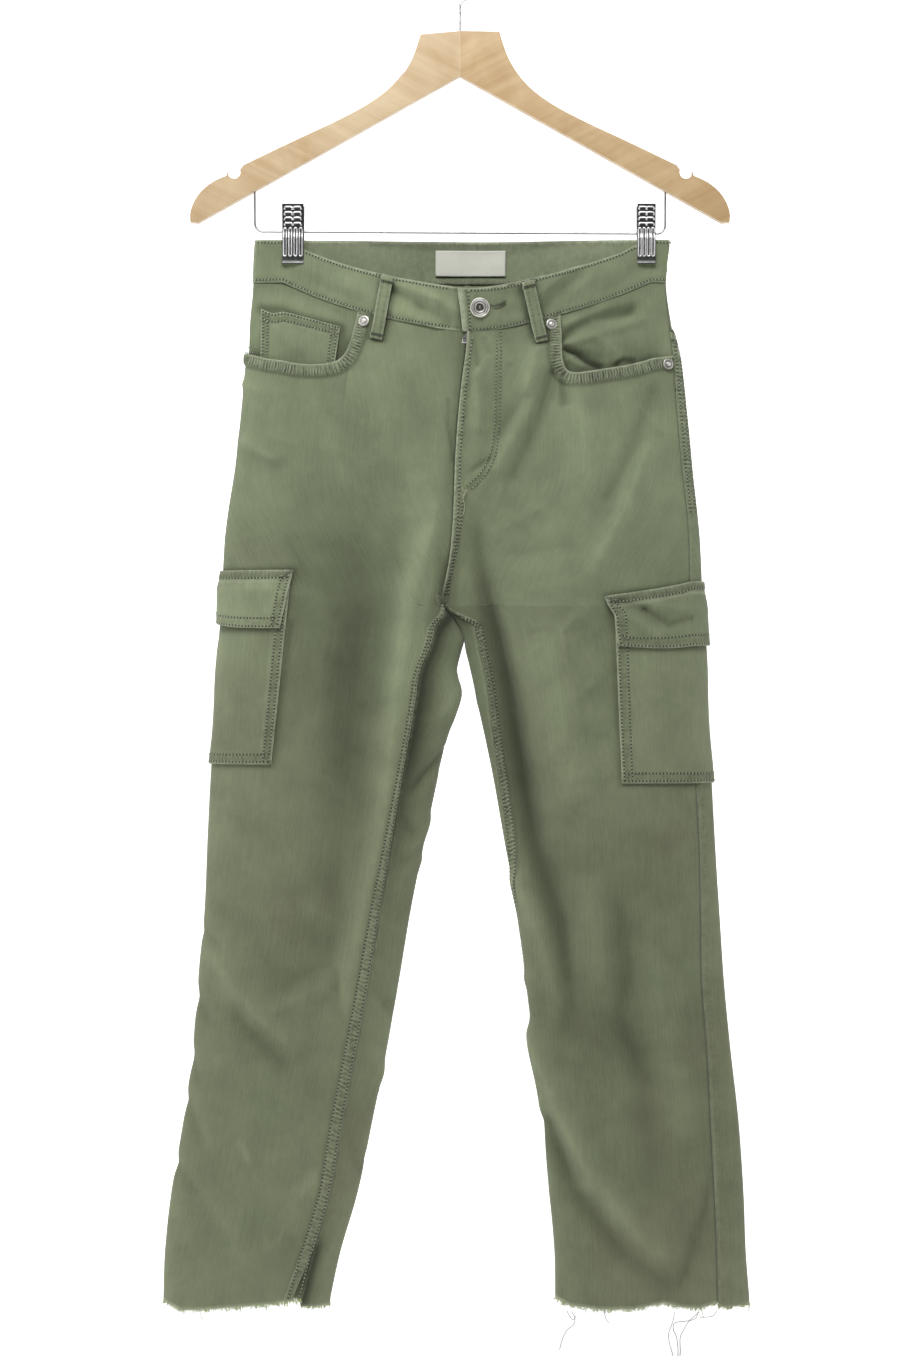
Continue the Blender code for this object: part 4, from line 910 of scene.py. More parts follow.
def front_panel(side):
    """A front leg from the waist seam and pocket mouth to the raw hem."""
    t = front_columns(side)
    top = mouth_drop(side, t)
    upper = np.linspace(0, 1, 46)[:-1]
    lower = leg_rows(MOUTH_BASE, 2.65)
    foot = hem_drop(side, base_point(side, t, np.full(t.shape, HEM))[:, 0], False)
    drop = np.concatenate([top[:, None] + (MOUTH_BASE - top[:, None]) * upper,
                           MOUTH_BASE + (foot[:, None] - MOUTH_BASE) * lower], 1)
    tt = np.broadcast_to(t[:, None], drop.shape)
    base, normal = cloth_point(side, tt, drop)
    arc = arc_length(base)
    from_out, from_in = arc, arc[-1] - arc
    x, down = base[..., 0], -base[..., 2]
    leg = smooth_step(drop, CROTCH - 30, CROTCH + 8)
    lift = groove(from_out, 0.7, 1.8) + groove(from_in, 0.8, 1.5) * leg
    wide = seam_width(drop)
    band = raised(from_in, 0.8, wide, 0.75)
    ladder = 0.9 + 0.1 * smooth_step(drop, 640, 900)
    seam = band / 0.75 * leg * ladder * (1.0 if side < 0 else 1.15)
    lift += band * leg
    along = down / RIPPLE + from_in * 0.1
    if side > 0:
        fly = raised(from_in, -2.0, np.where(drop < FLY_END, FLY_BAND + 2, SEAM_BAND + 2), 0.8) * (1 - leg)
        lift += fly + 0.9 * fading(from_in, 26.0) * (1 - leg)
        seam = np.maximum(seam, fly / 0.8 * 0.65)
        away, run = line_distance(x, down, J_STITCH)
        curve = bell(away, 0, 2.6) * (drop < FLY_END + 6)
        shield = bell(from_in, 17, 8.0) * (1 - smooth_step(drop, 400, FLY_END))
        lift += 1.5 * shield - 0.3 * bell(away, 0, 1.5) * (drop < FLY_END + 6) + 0.3 * curve
        curve = np.exp(-((np.maximum(away - 2.2, 0) / 1.4) ** 2)) * (drop < FLY_END + 6)
        along = np.where((away < 5) & (from_in > FLY_BAND + 2), run / RIPPLE, along)
        seam = np.maximum(seam, 0.2 * curve)
    else:
        lift += groove(from_in, 1.1, 5.0) * (1 - leg)
    rim = [(a, b) for a, b, c in zip(x[:, 0], down[:, 0], top) if c > BAND_LOW + 1]
    edge, run = line_distance(x[:, :MOUTH_ROWS], down[:, :MOUTH_ROWS], rim)
    mouth = raised(edge, -2.0, MOUTH_BAND + 2, 1.0)
    gape = fading(edge, 6.0) * (1.1 + (2.6 * bell(x[:, :MOUTH_ROWS], 104, 15) if side > 0 else 0))
    lift[:, :MOUTH_ROWS] += 1.3 * mouth + gape * smooth_step(run, 4, 30) + 0.6 * bell(edge, 1.4, 1.3)
    seam[:, :MOUTH_ROWS] = np.maximum(seam[:, :MOUTH_ROWS], 1.25 * raised(edge, 1.0, MOUTH_BAND - 1.0, 1.0))
    along[:, :MOUTH_ROWS] = np.where(edge < MOUTH_BAND + 2, run / FINE_RIPPLE, along[:, :MOUTH_ROWS])
    worn = (0.8 if side < 0 else 0.1) * fading(from_in, 0.9) * leg + 0.45 * bell(from_in, wide, 1.2) * leg
    if side > 0:
        worn += 0.95 * fading(from_in, 1.0) * (1 - leg)
    worn[:, :MOUTH_ROWS] += 0.9 * fading(edge, 1.6)
    worn += 1.0 * smooth_step(drop, foot[:, None] - 2.4, foot[:, None] - 0.4)
    points = base + normal * lift[..., None]
    # Painted shade in the folds' troughs (painted highlight on their ridges) and painted shadow beside the
    # belt loops
    deep = crease_shade(side, tt, drop) + loop_shade(x, down - waist_dip(x, drop))
    if side < 0:
        points[..., 0] -= 6.5 * smooth_step(drop, SLIT_TOP, HEM) * fading(from_in, 30.0)
        seam = seam * (1 - 0.7 * smooth_step(drop, SLIT_TOP + 22, SLIT_TOP + 36))
        worn += 0.5 * fading(from_in, 1.5) * smooth_step(drop, SLIT_TOP, SLIT_TOP + 20)
    # Painted shadow under the pocket mouth's band
    deep[:, :MOUTH_ROWS] += 0.75 * np.exp(-(((edge - MOUTH_BAND - 1.2) / 1.5) ** 2))
    if side < 0:
        # Painted shadow beside the fly edge and the overlap, along a fold line, and beside the seam above the
        # crotch
        deep += 0.75 * fading(from_in, 2.6) * (1 - leg)
        deep += 0.4 * fading(from_in, 22.0) * (1 - smooth_step(drop, 300, 345))
        deep += 0.6 * near_line(x, drop, ((-10, 372), (-10.5, 400), (-6, 438)), 1.5)
        spreading = 2.5 + 0.11 * np.clip(drop - 510, 0, 60)
        shade = near_line(x, drop, ((-6, 510), (-13, 540), (-24, 575)), spreading)
        deep += 0.9 * shade * (1 - smooth_step(drop, 600, 660))
    else:
        # Painted shadow along the J-stitch, the inseam edge, the fly's top and the outseam edge; painted
        # highlight on the fly shield
        bend = 0.14 + 0.4 * smooth_step(drop, 420, 445)
        deep += bend * bell(away, 0, 1.7) * (drop < FLY_END + 4)
        deep += 0.9 * bell(from_in, 0, 1.1) * leg
        deep += 0.35 * fading(from_in, 26.0) * (1 - smooth_step(drop, 294, 322)) - 0.22 * shield
        deep += 0.8 * bell(from_out, 0, 1.1)
    # Painted shadow beside the inseam's sewn band, then the pockets' painted edge shadow and the broad
    # painted patches
    deep += 0.4 * np.exp(-(((from_in - wide - 1.3) / 1.3) ** 2)) * leg
    deep += pocket_edge_shadow(side, x, drop) + shading(side, x, drop)
    # Painted shadow under the waistband
    deep += 0.6 * bell(drop, BAND_LOW, 1.7)
    values = cloth_values(base, drop, seam, along, np.clip(worn, 0, 1), np.clip(deep, -0.6, 1.4))
    cloth_sheet("front_" + side_name(side), points, normal, values, CLOTH)
    front_stitches(side, rim)


def front_stitches(side, rim):
    """Rows at the inseam and the pocket mouth, and on the right at the fly."""
    rows = np.arange(572, 1146, 1.5)
    for inset in (np.full(rows.shape, 2.0), seam_width(rows) - 1.4):
        sew_on("front", side, t_in(side, rows, inset, 1), rows, 0.75)
    for inset in (1.9, 7.3):
        xs, ds = offset_path(rim, inset)
        tq, dq = locate(side, xs, ds)
        spread = fading(inset, 6.0) * (1.1 + (2.6 * bell(xs, 104, 15) if side > 0 else 0))
        ease = smooth_step(np.linspace(0, 150, len(xs)), 4, 30)
        sew_on("front", side, tq, dq, 1.35 + spread * ease, pitch=FINE_RIPPLE, length=1.6, thick=0.34)
    if side > 0:
        rows = np.arange(296, 552, 1.5)
        sew_on("front", side, t_in(side, rows, 4.2, 1), rows, 1.75)
        rows = np.arange(474, 552, 1.5)
        sew_on("front", side, t_in(side, rows, 4.6, 1), rows, 1.6)
        sew_on("front", side, t_in(side, rows, 8.0, 1), rows, 1.6)
        for shift in (-1.9, 1.9):
            line = curve_through(J_STITCH, 90) - (shift, shift * 0.6)
            tq, dq = locate(side, line[:, 0], line[:, 1])
            sew_on("front", side, tq, dq, 0.4 + 0.9 * fading(line[:, 0], 26.0), thick=0.42)
        fly_knot()


def fly_knot():
    """Loose ends of thread at the foot of the fly."""
    knot = []
    for path in FLY_KNOT:
        line = curve_through(path, 12)
        knot.append(surface(1, *locate(1, line[:, 0], line[:, 1]), 2.9)[0])
    paint = thread_material("loose_knot", (0.42, 0.43, 0.27, 1), 0.3)
    threads("fly_knot", knot, 0.3, paint, ["front_right"])


def offset_path(path, inset):
    """A line moved down and in from a pocket mouth, as distances across and below."""
    line = np.array(path)
    arcs = np.concatenate([[0], np.cumsum(np.linalg.norm(np.diff(line, axis=0), axis=1))])
    at = np.linspace(0, arcs[-1], 160)
    fine = np.stack([np.interp(at, arcs, line[:, k]) for k in range(2)], -1)
    ahead = np.gradient(fine, axis=0)
    ahead = ahead / np.linalg.norm(ahead, axis=1, keepdims=True)
    for _ in range(10):
        ahead[1:-1] = (ahead[:-2] + ahead[1:-1] * 2 + ahead[2:]) / 4
    aside = np.stack([-ahead[:, 1], ahead[:, 0]], -1)
    aside *= np.sign(aside[20, 1])
    moved = fine + aside * inset
    return moved[:, 0], moved[:, 1]


def yoke_seam(t):
    return YOKE_SIDE + (YOKE_CENTRE - YOKE_SIDE) * np.abs(t)


def back_panel(side):
    """A back leg from the yoke seam to the raw hem, with the seat seam."""
    t = even_t(side, 620, 0, -1, 2.7)
    top = yoke_seam(t)
    foot = hem_drop(side, base_point(side, t, np.full(t.shape, HEM))[:, 0], True)
    part = leg_rows(340, 3.0)
    drop = top[:, None] + (foot - top)[:, None] * part
    tt = np.broadcast_to(t[:, None], drop.shape)
    base, normal = cloth_point(side, tt, drop)
    arc = arc_length(base)
    from_out, from_in = arc, arc[-1] - arc
    leg = smooth_step(drop, CROTCH - 30, CROTCH + 8)
    down = -base[..., 2]
    lift = groove(from_out, 0.7, 1.8) + groove(from_in, 0.8, 1.5)
    sides = raised(from_out, 0.8, 8.0, 0.6) * (1 - smooth_step(drop, 470, 490))
    puckers = raised(from_out, 0.8, 6.0, 0.3)
    seat = raised(from_in, 0.8, SEAM_BAND, 0.7) * (1 - leg)
    yoke_band = raised(drop - top[:, None], 0.8, SEAM_BAND, 0.7)
    lift += sides + puckers + np.maximum(seat, yoke_band)
    seam = np.clip(sides / 0.6 + puckers + np.maximum(seat, yoke_band) / 0.7, 0, 1)
    along = np.where(yoke_band > 0.1, arc / RIPPLE, down / RIPPLE)
    worn = 0.5 * fading(from_out, 1.0) + 0.5 * fading(from_in, 0.9) * leg
    worn += 1.0 * smooth_step(drop, foot[:, None] - 2.4, foot[:, None] - 0.4)
    # Painted shadow beside the inseam, at the crotch, and in the open foot of the left inseam
    inseam_shadow = bell(from_in, 0, 15.0) * leg * (1 - smooth_step(drop, 650, 830))
    deep = crease_shade(side, tt, drop) + (1.5 if side < 0 else 0.1) * inseam_shadow
    deep += (0.45 if side < 0 else 0.1) * fading(from_in, 6.0) * leg
    deep += 1.2 * (1 - smooth_step(drop, 566, 590)) * leg * bell(from_in, 0, 20.0)
    if side < 0:
        deep += 1.5 * bell(from_in, 0, 7.0) * smooth_step(drop, SLIT_TOP - 12, SLIT_TOP + 10)
    values = cloth_values(base, drop, seam, along, np.clip(worn, 0, 1), np.clip(deep, -0.6, 1.6))
    cloth_sheet("back_" + side_name(side), base + normal * lift[..., None], normal, values, CLOTH)
    rows = np.arange(332, 482, 1.5)
    for inset in (2.0, 7.2):
        sew_on("back" if side < 0 else "front", side, t_in(side, rows, inset, 0) * -1, rows, 0.9)
    rows = np.arange(356, 545, 1.5)
    for inset in (2.0, 8.0):
        sew_on("back", side, t_in(side, rows, inset, -1), rows, 0.8)
    for inset in (2.0, 8.0):
        sew_on("back", side, t[3:-3], top[3:-3] + inset, 0.8)


def yoke(side):
    """The yoke between the waistband and the back leg."""
    t = even_t(side, 320, 0, -1, 2.8)
    part = np.linspace(0, 1, 24)
    low = yoke_seam(t)
    drop = BAND_LOW + (low - BAND_LOW)[:, None] * part
    tt = np.broadcast_to(t[:, None], drop.shape)
    base, normal = cloth_point(side, tt, drop)
    arc = arc_length(base)
    lift = groove(arc, 0.5, 1.6) + groove(arc[-1] - arc, 0.6, 1.5) + groove(low[:, None] - drop, 0.7, 1.6)
    points = base + normal * lift[..., None]
    cloth_sheet("yoke_" + side_name(side), points, normal, cloth_values(base, drop), CLOTH)


# ---- Waistband and loops ----

BAND_STATIONS = 2.1
UNDERLAP = 34.0


def waistband():
    """From the overlap's end at the centre front, round the right side and the back to the underlap."""
    pieces = [(1, even_t(1, 287, 1, 0, BAND_STATIONS)), (1, even_t(1, 287, 0, -1, BAND_STATIONS)[1:]),
              (-1, even_t(-1, 287, -1, 0, BAND_STATIONS)), (-1, even_t(-1, 287, 0, 1, BAND_STATIONS)[1:]),
              (1, even_t(1, 287, 1, t_at(1, UNDERLAP, BAND_LOW), BAND_STATIONS)[1:])]
    sides = np.concatenate([np.full(len(t), side) for side, t in pieces])
    t = np.concatenate([t for _, t in pieces])
    under = np.zeros(len(t))
    under[-len(pieces[-1][1]):] = 1
    start = len(t) - len(pieces[-1][1])
    under[start - 6:start] = smooth_step(np.linspace(0, 1, 6), 0, 1)
    drop_line = np.linspace(BAND_TOP, BAND_LOW + 0.2, 17)
    shape = (len(t), len(drop_line))
    base, normal = np.zeros(shape + (3,)), np.zeros(shape + (3,))
    for side in (-1, 1):
        pick = sides == side
        tt = np.broadcast_to(t[pick][:, None], (pick.sum(), shape[1]))
        dd = np.broadcast_to(drop_line, tt.shape)
        base[pick], normal[pick] = cloth_point(side, tt, dd)
    drop = np.broadcast_to(drop_line, shape)
    arc = arc_length(base)
    from_top, from_foot = drop - BAND_TOP, BAND_LOW - drop
    puff = 0.75 * np.sin(math.pi * np.clip(from_top / 36, 0, 1)) ** 0.6
    stitch_dip = groove(from_top - 2.2, 0.45, 1.3) + groove(from_foot - 2.4, 0.45, 1.3)
    front_here = base[..., 1] < 0
    overlap = fading(arc, 20.0)
    out = BAND_PROUD + puff * 0.6 + stitch_dip + 1.2 * overlap - under[:, None] * (BAND + 1.1)
    x = base[..., 0]
    wave = 0.7 * np.sin(x * 0.055 + 1.0) * np.sin(from_top / 36 * math.pi) * front_here
    for x0, d0, x1, d1, width, height in BAND_FOLDS:
        run = np.array((x1 - x0, d1 - d0), float)
        part = np.clip(((x - x0) * run[0] + (drop - d0) * run[1]) / (run @ run), 0.0, 1.0)
        away = np.hypot(x - x0 - part * run[0], drop - d0 - part * run[1]) / width
        wave = wave + height * np.exp(-away * away) * front_here
    free = 1 - under[:, None]
    points = base + normal * (out + wave * free)[..., None]
    points[..., 0] -= (6.2 - from_top / 18) * fading(arc, 12.0) * (1 - under[:, None])
    seam = np.clip(bell(from_top, 1.5, 1.7) + bell(from_foot, 2.2, 1.8), 0, 1) * 0.5
    worn = 0.85 * fading(from_top, 0.9) + 0.45 * fading(from_foot, 0.8) + 0.9 * np.exp(-((arc / 3.0) ** 4))
    # The back half is painted paler: painted light on the band's inside, and fading on the back's outside
    worn = worn + 0.3 * ~front_here
    # Painted shadow beside the front loops, under the overlap, at its end, along the stitch rows and in the
    # buttonhole slit; painted highlight on the band's ridges and on a patch left of the middle
    deep = loop_shade(x, drop) * front_here + 0.9 * under[:, None] * bell(x, 2, 11) - wave * 0.07
    deep = deep + 0.6 * bell(arc, 5.0, 1.2) - 0.4 * patch(x, drop, (-40, 268), (34, 14)) * front_here
    deep = deep + 0.35 * bell(from_top, 2.4, 1.4) + 0.35 * bell(from_foot, 2.4, 1.4)
    middle = (BUTTONHOLE[0] + BUTTONHOLE[1]) / 2
    slit = ((BUTTONHOLE[0], BUTTONHOLE[2]), (middle, BUTTONHOLE[2] + 2.4), (BUTTONHOLE[1], BUTTONHOLE[2]))
    deep = deep + 1.5 * near_line(x, drop, slit, 1.0) * front_here * free
    values = cloth_values(base, drop, seam, arc / RIPPLE, np.clip(worn, 0, 1), np.clip(deep, -0.5, 1))
    cloth_sheet("waistband", points, normal, values, BAND, rounded=0.8)
    first, under_long = len(pieces[0][1]), len(pieces[-1][1])
    last = under_long + len(pieces[3][1])
    for offset in (2.2, 33.6):
        for chosen, layer in ((slice(3, first - 2), "front"), (slice(first, -last), "back"),
                              (slice(-last + 2, -under_long - 8), "front")):
            row = int(round(offset / 36.2 * 16))
            part = points[chosen, row]
            sew(layer, part + normal[chosen, row] * 0.1, normal[chosen, row], pitch=2.9, length=1.9)
    edge = np.linspace(BAND_TOP + 2.5, BAND_LOW - 2.5, 30)
    tt = t_in(1, edge, 2.4, 1)
    sew_on("front", 1, tt, edge, BAND_PROUD + 1.8)
    across = np.linspace(*BUTTONHOLE[:2], 24)
    for shift in (-1.3, 1.3):
        level = BUTTONHOLE[2] + shift + 2.4 * np.sin((across - BUTTONHOLE[0]) / 15 * math.pi)
        sew_on("front", 1, t_at(1, across, level), level, BAND_PROUD + 0.9, pitch=0.9, length=0.8, thick=0.45)


BUTTONHOLE = (22.0, 37.0, 266.0)
BAND_FOLDS = (
    (-54, 254, -20, 263, 5, 3.2),
    (-20, 263, -4, 270, 5, 2.8),
    (-62, 262, -34, 273, 5, -2.6),
    (-34, 273, -10, 281, 5, -2.4),
    (-60, 278, -20, 286, 5, 1.6),
    (67, 284, 100, 260, 6, -2.4),
    (60, 268, 84, 254, 5, 2.2),
    (84, 276, 110, 262, 6, 1.4),
    (-140, 262, -90, 268, 8, 1.4),
    (-120, 276, -84, 280, 6, -1.2),
    (120, 280, 160, 272, 8, -1.4),
    (30, 256, 50, 262, 5, -1.4),
    (26, 278, 50, 282, 6, 1.2),
    (-168, 256, -150, 284, 6, 1.2),
)

LOOPS = (
    ("loop_front_left", -1, -60.0, -70.5, True),
    ("loop_front_right", 1, 56.0, 68.5, True),
    ("loop_back_left", -1, -92.0, -92.0, False),
    ("loop_back_right", 1, 92.0, 92.0, False),
    ("loop_back_centre", 1, 4.0, 4.0, False),
)
LOOP_WIDTH, LOOP_FOOT = 10.4, 314.0


def loop_shade(x, drop):
    """Painted shadow close beside the front belt loops."""
    shade = np.zeros(x.shape)
    for _, _, x_top, x_foot, _ in LOOPS[:2]:
        run = (x_foot - x_top) * (drop - BAND_TOP) / (LOOP_FOOT - BAND_TOP)
        away = np.abs(x - x_top - run) - LOOP_WIDTH / 2
        beyond = np.maximum(drop - LOOP_FOOT, 0)
        shade = np.maximum(shade, np.exp(-(np.maximum(away, 0) / 3.4) ** 2 - (beyond / 3.0) ** 2))
    return shade


def belt_loops():
    """Folded strips over the waistband, sewn down at both ends."""
    for name, side, x_top, x_foot, front in LOOPS:
        drop = np.linspace(BAND_TOP + 0.8, LOOP_FOOT, 40)
        across = np.linspace(-0.5, 0.5, 9)
        x = x_top + (x_foot - x_top) * (drop - BAND_TOP) / (LOOP_FOOT - BAND_TOP)
        xx = x[None, :] + across[:, None] * LOOP_WIDTH
        dd = np.broadcast_to(drop, xx.shape)
        if name.endswith("centre"):
            point_l, normal_l = cloth_point(-1, t_at(-1, np.minimum(xx, centre_x(dd)), dd, False), dd)
            point_r, normal_r = cloth_point(1, t_at(1, np.maximum(xx, centre_x(dd)), dd, False), dd)
            left = (xx < centre_x(dd))[..., None]
            base, normal = np.where(left, point_l, point_r), np.where(left, normal_l, normal_r)
        else:
            base, normal = cloth_point(side, t_at(side, xx, dd, front), dd)
        arch = 1 - (2 * across[:, None]) ** 4
        stand = ((BAND_TOP, 2.9), (268, 4.4), (BAND_LOW, 4.8), (301, 3.6), (LOOP_FOOT, 2.3))
        out = curve_through(stand, 40)[:, 1]
        out = out[None, :] + 1.1 * arch - 0.5
        out = out + 0.5 * np.exp(-((drop - BAND_TOP - 3) / 2.5) ** 2)[None, :]
        out = out + 0.6 * np.exp(-((drop - LOOP_FOOT + 4) / 2.5) ** 2)[None, :]
        edge = LOOP_WIDTH / 2 - np.abs(across[:, None]) * LOOP_WIDTH + np.zeros(dd.shape)
        worn = 0.9 * fading(edge, 0.9) + 0.5 * np.exp(-((drop - BAND_TOP - 1) / 1.5) ** 2)[None, :]
        # Painted shade along both sides of the loop
        deep = 0.5 * bell(edge, 2.4, 1.0)
        values = cloth_values(base, dd, 0.6 * bell(edge, 2.2, 1.4), dd / 2.6, np.clip(worn, 0, 1), deep)
        cloth_sheet(name, base + normal * out[..., None], normal, values, 1.7, rounded=0.6)
        layer = "front" if front else "back"
        for row in (3, 36):
            for shift in (-0.6, 0.6):
                line = base[:, row] + normal[:, row] * (out[:, row] + 0.1)[:, None]
                line = line + np.array((0, 0, shift))
                sew(layer, line, normal[:, row], pitch=0.9, length=1.5, thick=0.34)


def centre_x(drop):
    """Where the centre back lies."""
    return base_point(1, np.full(drop.shape, -1.0), drop)[..., 0]


# ---- Pockets ----

MOUTH_FOLDS = (
    (((88, 325), (99, 333), (109, 344), (118, 351)), 2.6, -5.0),
    (((92, 337), (103, 347)), 2.2, 2.4),
    (((112, 320), (121, 328), (134, 346)), 4.0, 2.0),
    (((132, 352), (138, 348), (147, 351)), 2.0, -2.6),
    (((84, 316), (99, 304), (113, 299), (144, 304)), 6.0, -3.4),
    (((88, 300), (122, 295)), 4.0, 2.0),
    (((90, 322), (125, 317), (152, 317)), 5.0, 2.4),
    (((104, 334), (118, 342)), 4.0, -1.6),
)


def facings():
    """The cloth that shows in the pocket mouths."""
    for side in (-1, 1):
        drop = np.linspace(BAND_LOW + 0.3, 380, 44)
        start = np.zeros(drop.shape)
        end = t_at(side, side * 72.0 * np.ones(drop.shape), drop)
        part = np.linspace(0, 1, 56)
        tt = start[None, :] + (end - start)[None, :] * part[:, None]
        dd = np.broadcast_to(drop, tt.shape)
        base, normal = cloth_point(side, tt, dd)
        arc = arc_length(base)
        out = -0.2 - 2.0 * smooth_step(arc, 0, 16) * smooth_step(dd, BAND_LOW - 4, BAND_LOW + 14)
        out = out - 2.6 * smooth_step(arc, 0, 16) * smooth_step(dd, 318, 345)
        if side > 0:
            for path, width, height in MOUTH_FOLDS:
                away, _ = line_distance(base[..., 0], dd, path)
                out = out + height * np.exp(-((away / width) ** 2))
        rim = np.interp(np.abs(base[..., 0]), *zip(*sorted(MOUTH[side])))
        # Painted shadow inside the pocket mouths, around the coin pocket, at one edge and under the
        # waistband; on the right, painted shade and highlight follow the folds
        deep = 0.85 * np.exp(-np.maximum(rim - 2 - dd, 0) / 6.0) * smooth_step(arc, 4, 20)
        if side < 0:
            coin = ((-169, 309), (-135, 311), (-101, 308), (-108, 376))
            away, _ = line_distance(base[..., 0], dd, coin)
            deep = np.maximum(deep, 1.0 * bell(away, 0, 4.6))
            deep = np.maximum(deep, 0.9 * patch(base[..., 0], dd, (-96, 334), (12, 22)))
            deep = np.maximum(deep, 0.5 * smooth_step(dd, 300, 280))
        else:
            for path, width, height in MOUTH_FOLDS:
                deep = deep - 0.3 * height * near_line(base[..., 0], dd, path, width)
            deep = deep + 0.8 * bell(arc, 0, 1.1)
        deep = np.clip(np.maximum(deep, 0.5 * np.exp(-np.maximum(dd - BAND_LOW, 0) / 3.5)), -0.5, 1.4)
        values = cloth_values(base, dd, deep=deep)
        cloth_sheet("facing_" + side_name(side), base + normal * out[..., None], normal, values, 0.9)


COIN_SLOPE = ((0, 0.25, 0.5, 0.75, 1), (3.0, 7.4, 4.6, 2.9, 2.5))


def coin_pocket():
    """The small pocket on the left facing."""
    side = -1
    drop = np.linspace(306.5, 376, 42)
    left = t_at(side, np.interp(drop, (306, 376), (-168.5, -170.0)), drop)
    right = t_at(side, np.interp(drop, (306, 376), (-101.0, -109.0)), drop)
    part = np.linspace(0, 1, 42)
    tt = left[None, :] + (right - left)[None, :] * part[:, None]
    slope = np.interp(part, COIN_SLOPE[0], COIN_SLOPE[1])[:, None] * (1 - (drop - 306.5) / 70)[None, :]
    dd = np.broadcast_to(drop, tt.shape) + slope
    base, normal = cloth_point(side, tt, dd)
    arc = arc_length(base)
    from_left, from_right = arc, arc[-1] - arc
    from_top = dd - dd[:, :1]
    edge = np.minimum(from_left, from_right)
    out = -1.2 + raised(from_top, -2, 12.0, 0.6) + raised(edge, -2, 8.5, 0.5)
    out = out - 0.8 * bell(from_top, 36, 9) * bell(from_left, 30, 18)
    seam = np.clip(raised(from_top, -2, 12.0, 0.45) + raised(edge, -2, 8.5, 0.45), 0, 0.5)
    along = np.where(from_top < 11, arc / 3.0, dd / 3.0)
    worn = 0.95 * fading(from_top, 1.0) + 0.8 * fading(edge, 0.9) + 0.3 * bell(from_top, 10, 1.2)
    # Painted shade between the stitch rows of the top band and the sides, and a soft painted shade in the
    # pocket's middle
    deep = 0.5 * bell(from_top, 5, 2.6) + 0.45 * bell(edge, 4, 1.8)
    deep = deep + 0.45 * bell(from_top, 36, 8) * bell(from_left, 34, 16)
    values = cloth_values(base, dd, seam, along, np.clip(worn, 0, 1), np.clip(deep, 0, 1))
    cloth_sheet("coin_pocket", base + normal * out[..., None], normal, values, 1.2, rounded=0.35)
    for inset in (1.8, 8.8):
        row = int(np.argmin(np.abs(from_top[0] - inset)))
        line = base[1:-1, row] + normal[1:-1, row] * (out[1:-1, row] + 0.1)[:, None]
        sew("front", line, normal[1:-1, row], pitch=2.8, length=1.9)
    for inset in (1.6, 6.6):
        for way in (0, 1):
            distance = from_left if way == 0 else from_right
            column = np.argmin(np.abs(distance - inset), axis=0)
            rows = np.arange(2, 38)
            pick = (column[rows], rows)
            line = base[pick] + normal[pick] * (out[pick] + 0.1)[:, None]
            sew("front", line, normal[pick], pitch=2.8, length=1.9)


CARGO = {
    -1: ((-143, -159), -140, 546.0, 696.0),
    1: ((130, 136.5), 158, 562.0, 712.0),
}
FLAPS = {
    -1: ((-140, -151), -137, 532.0, 581.0, 0.0, 7.0),
    1: ((123, 133.5), 155, 541.0, 596.0, 13.0, 0.0),
}
FLAP_CREASES = {
    -1: ((-160, 545, -190, 549, 5, 1.0), (-150, 552, -158, 566, 4, 0.9), (-172, 556, -166, 570, 4, -0.8)),
    1: ((134, 558, 155, 566, 3.2, -2.0), (155, 566, 176, 579, 3.2, -2.0), (180, 577, 196, 573, 3, -1.6),
        (140, 571, 165, 585, 5, 1.7), (158, 560, 190, 565, 5, 1.5)),
}


def wrap_grid(side, spec, rows, columns):
    """Columns from a pocket's back edge round the outseam to its front edge, by rows."""
    (x_top, x_foot), x_back, top, foot = spec[:4]
    drop = np.linspace(top, foot, rows)
    back = t_at(side, np.full(1, float(x_back)), np.full(1, (top + foot) / 2), False)[0]
    edge = t_at(side, np.interp(drop, (top, foot), (x_top, x_foot)), drop)
    part = np.linspace(0, 1, columns)
    share = abs(back) / (abs(back) + edge.mean())
    behind = back * (1 - np.minimum(part / share, 1))
    ahead = np.maximum((part - share) / (1 - share), 0)
    tt = behind[:, None] + ahead[:, None] * edge[None, :]
    return tt, np.broadcast_to(drop, tt.shape).copy()


def edge_distances(base):
    """Distances over the cloth to the back edge, the front edge, the top and the foot."""
    arc, fall = arc_length(base), np.moveaxis(arc_length(np.moveaxis(base, 1, 0)), 1, 0)
    return arc, arc[-1] - arc, fall, fall[:, -1:] - fall


def sew_edge(layer, base, normal, out, distance, inset, axis, margin):
    """A row of stitches at a distance in from one edge of a patch."""
    near = np.argmin(np.abs(distance - inset), axis=axis)
    if axis == 0:
        pick = (near[margin:-margin], np.arange(len(near))[margin:-margin])
    else:
        pick = (np.arange(len(near))[margin:-margin], near[margin:-margin])
    line = base[pick] + normal[pick] * (out[pick] + 0.12)[:, None]
    for _ in range(3):
        line[1:-1] = (line[:-2] + 2 * line[1:-1] + line[2:]) / 4
    sew(layer, line, normal[pick], pitch=3.0, length=2.1)


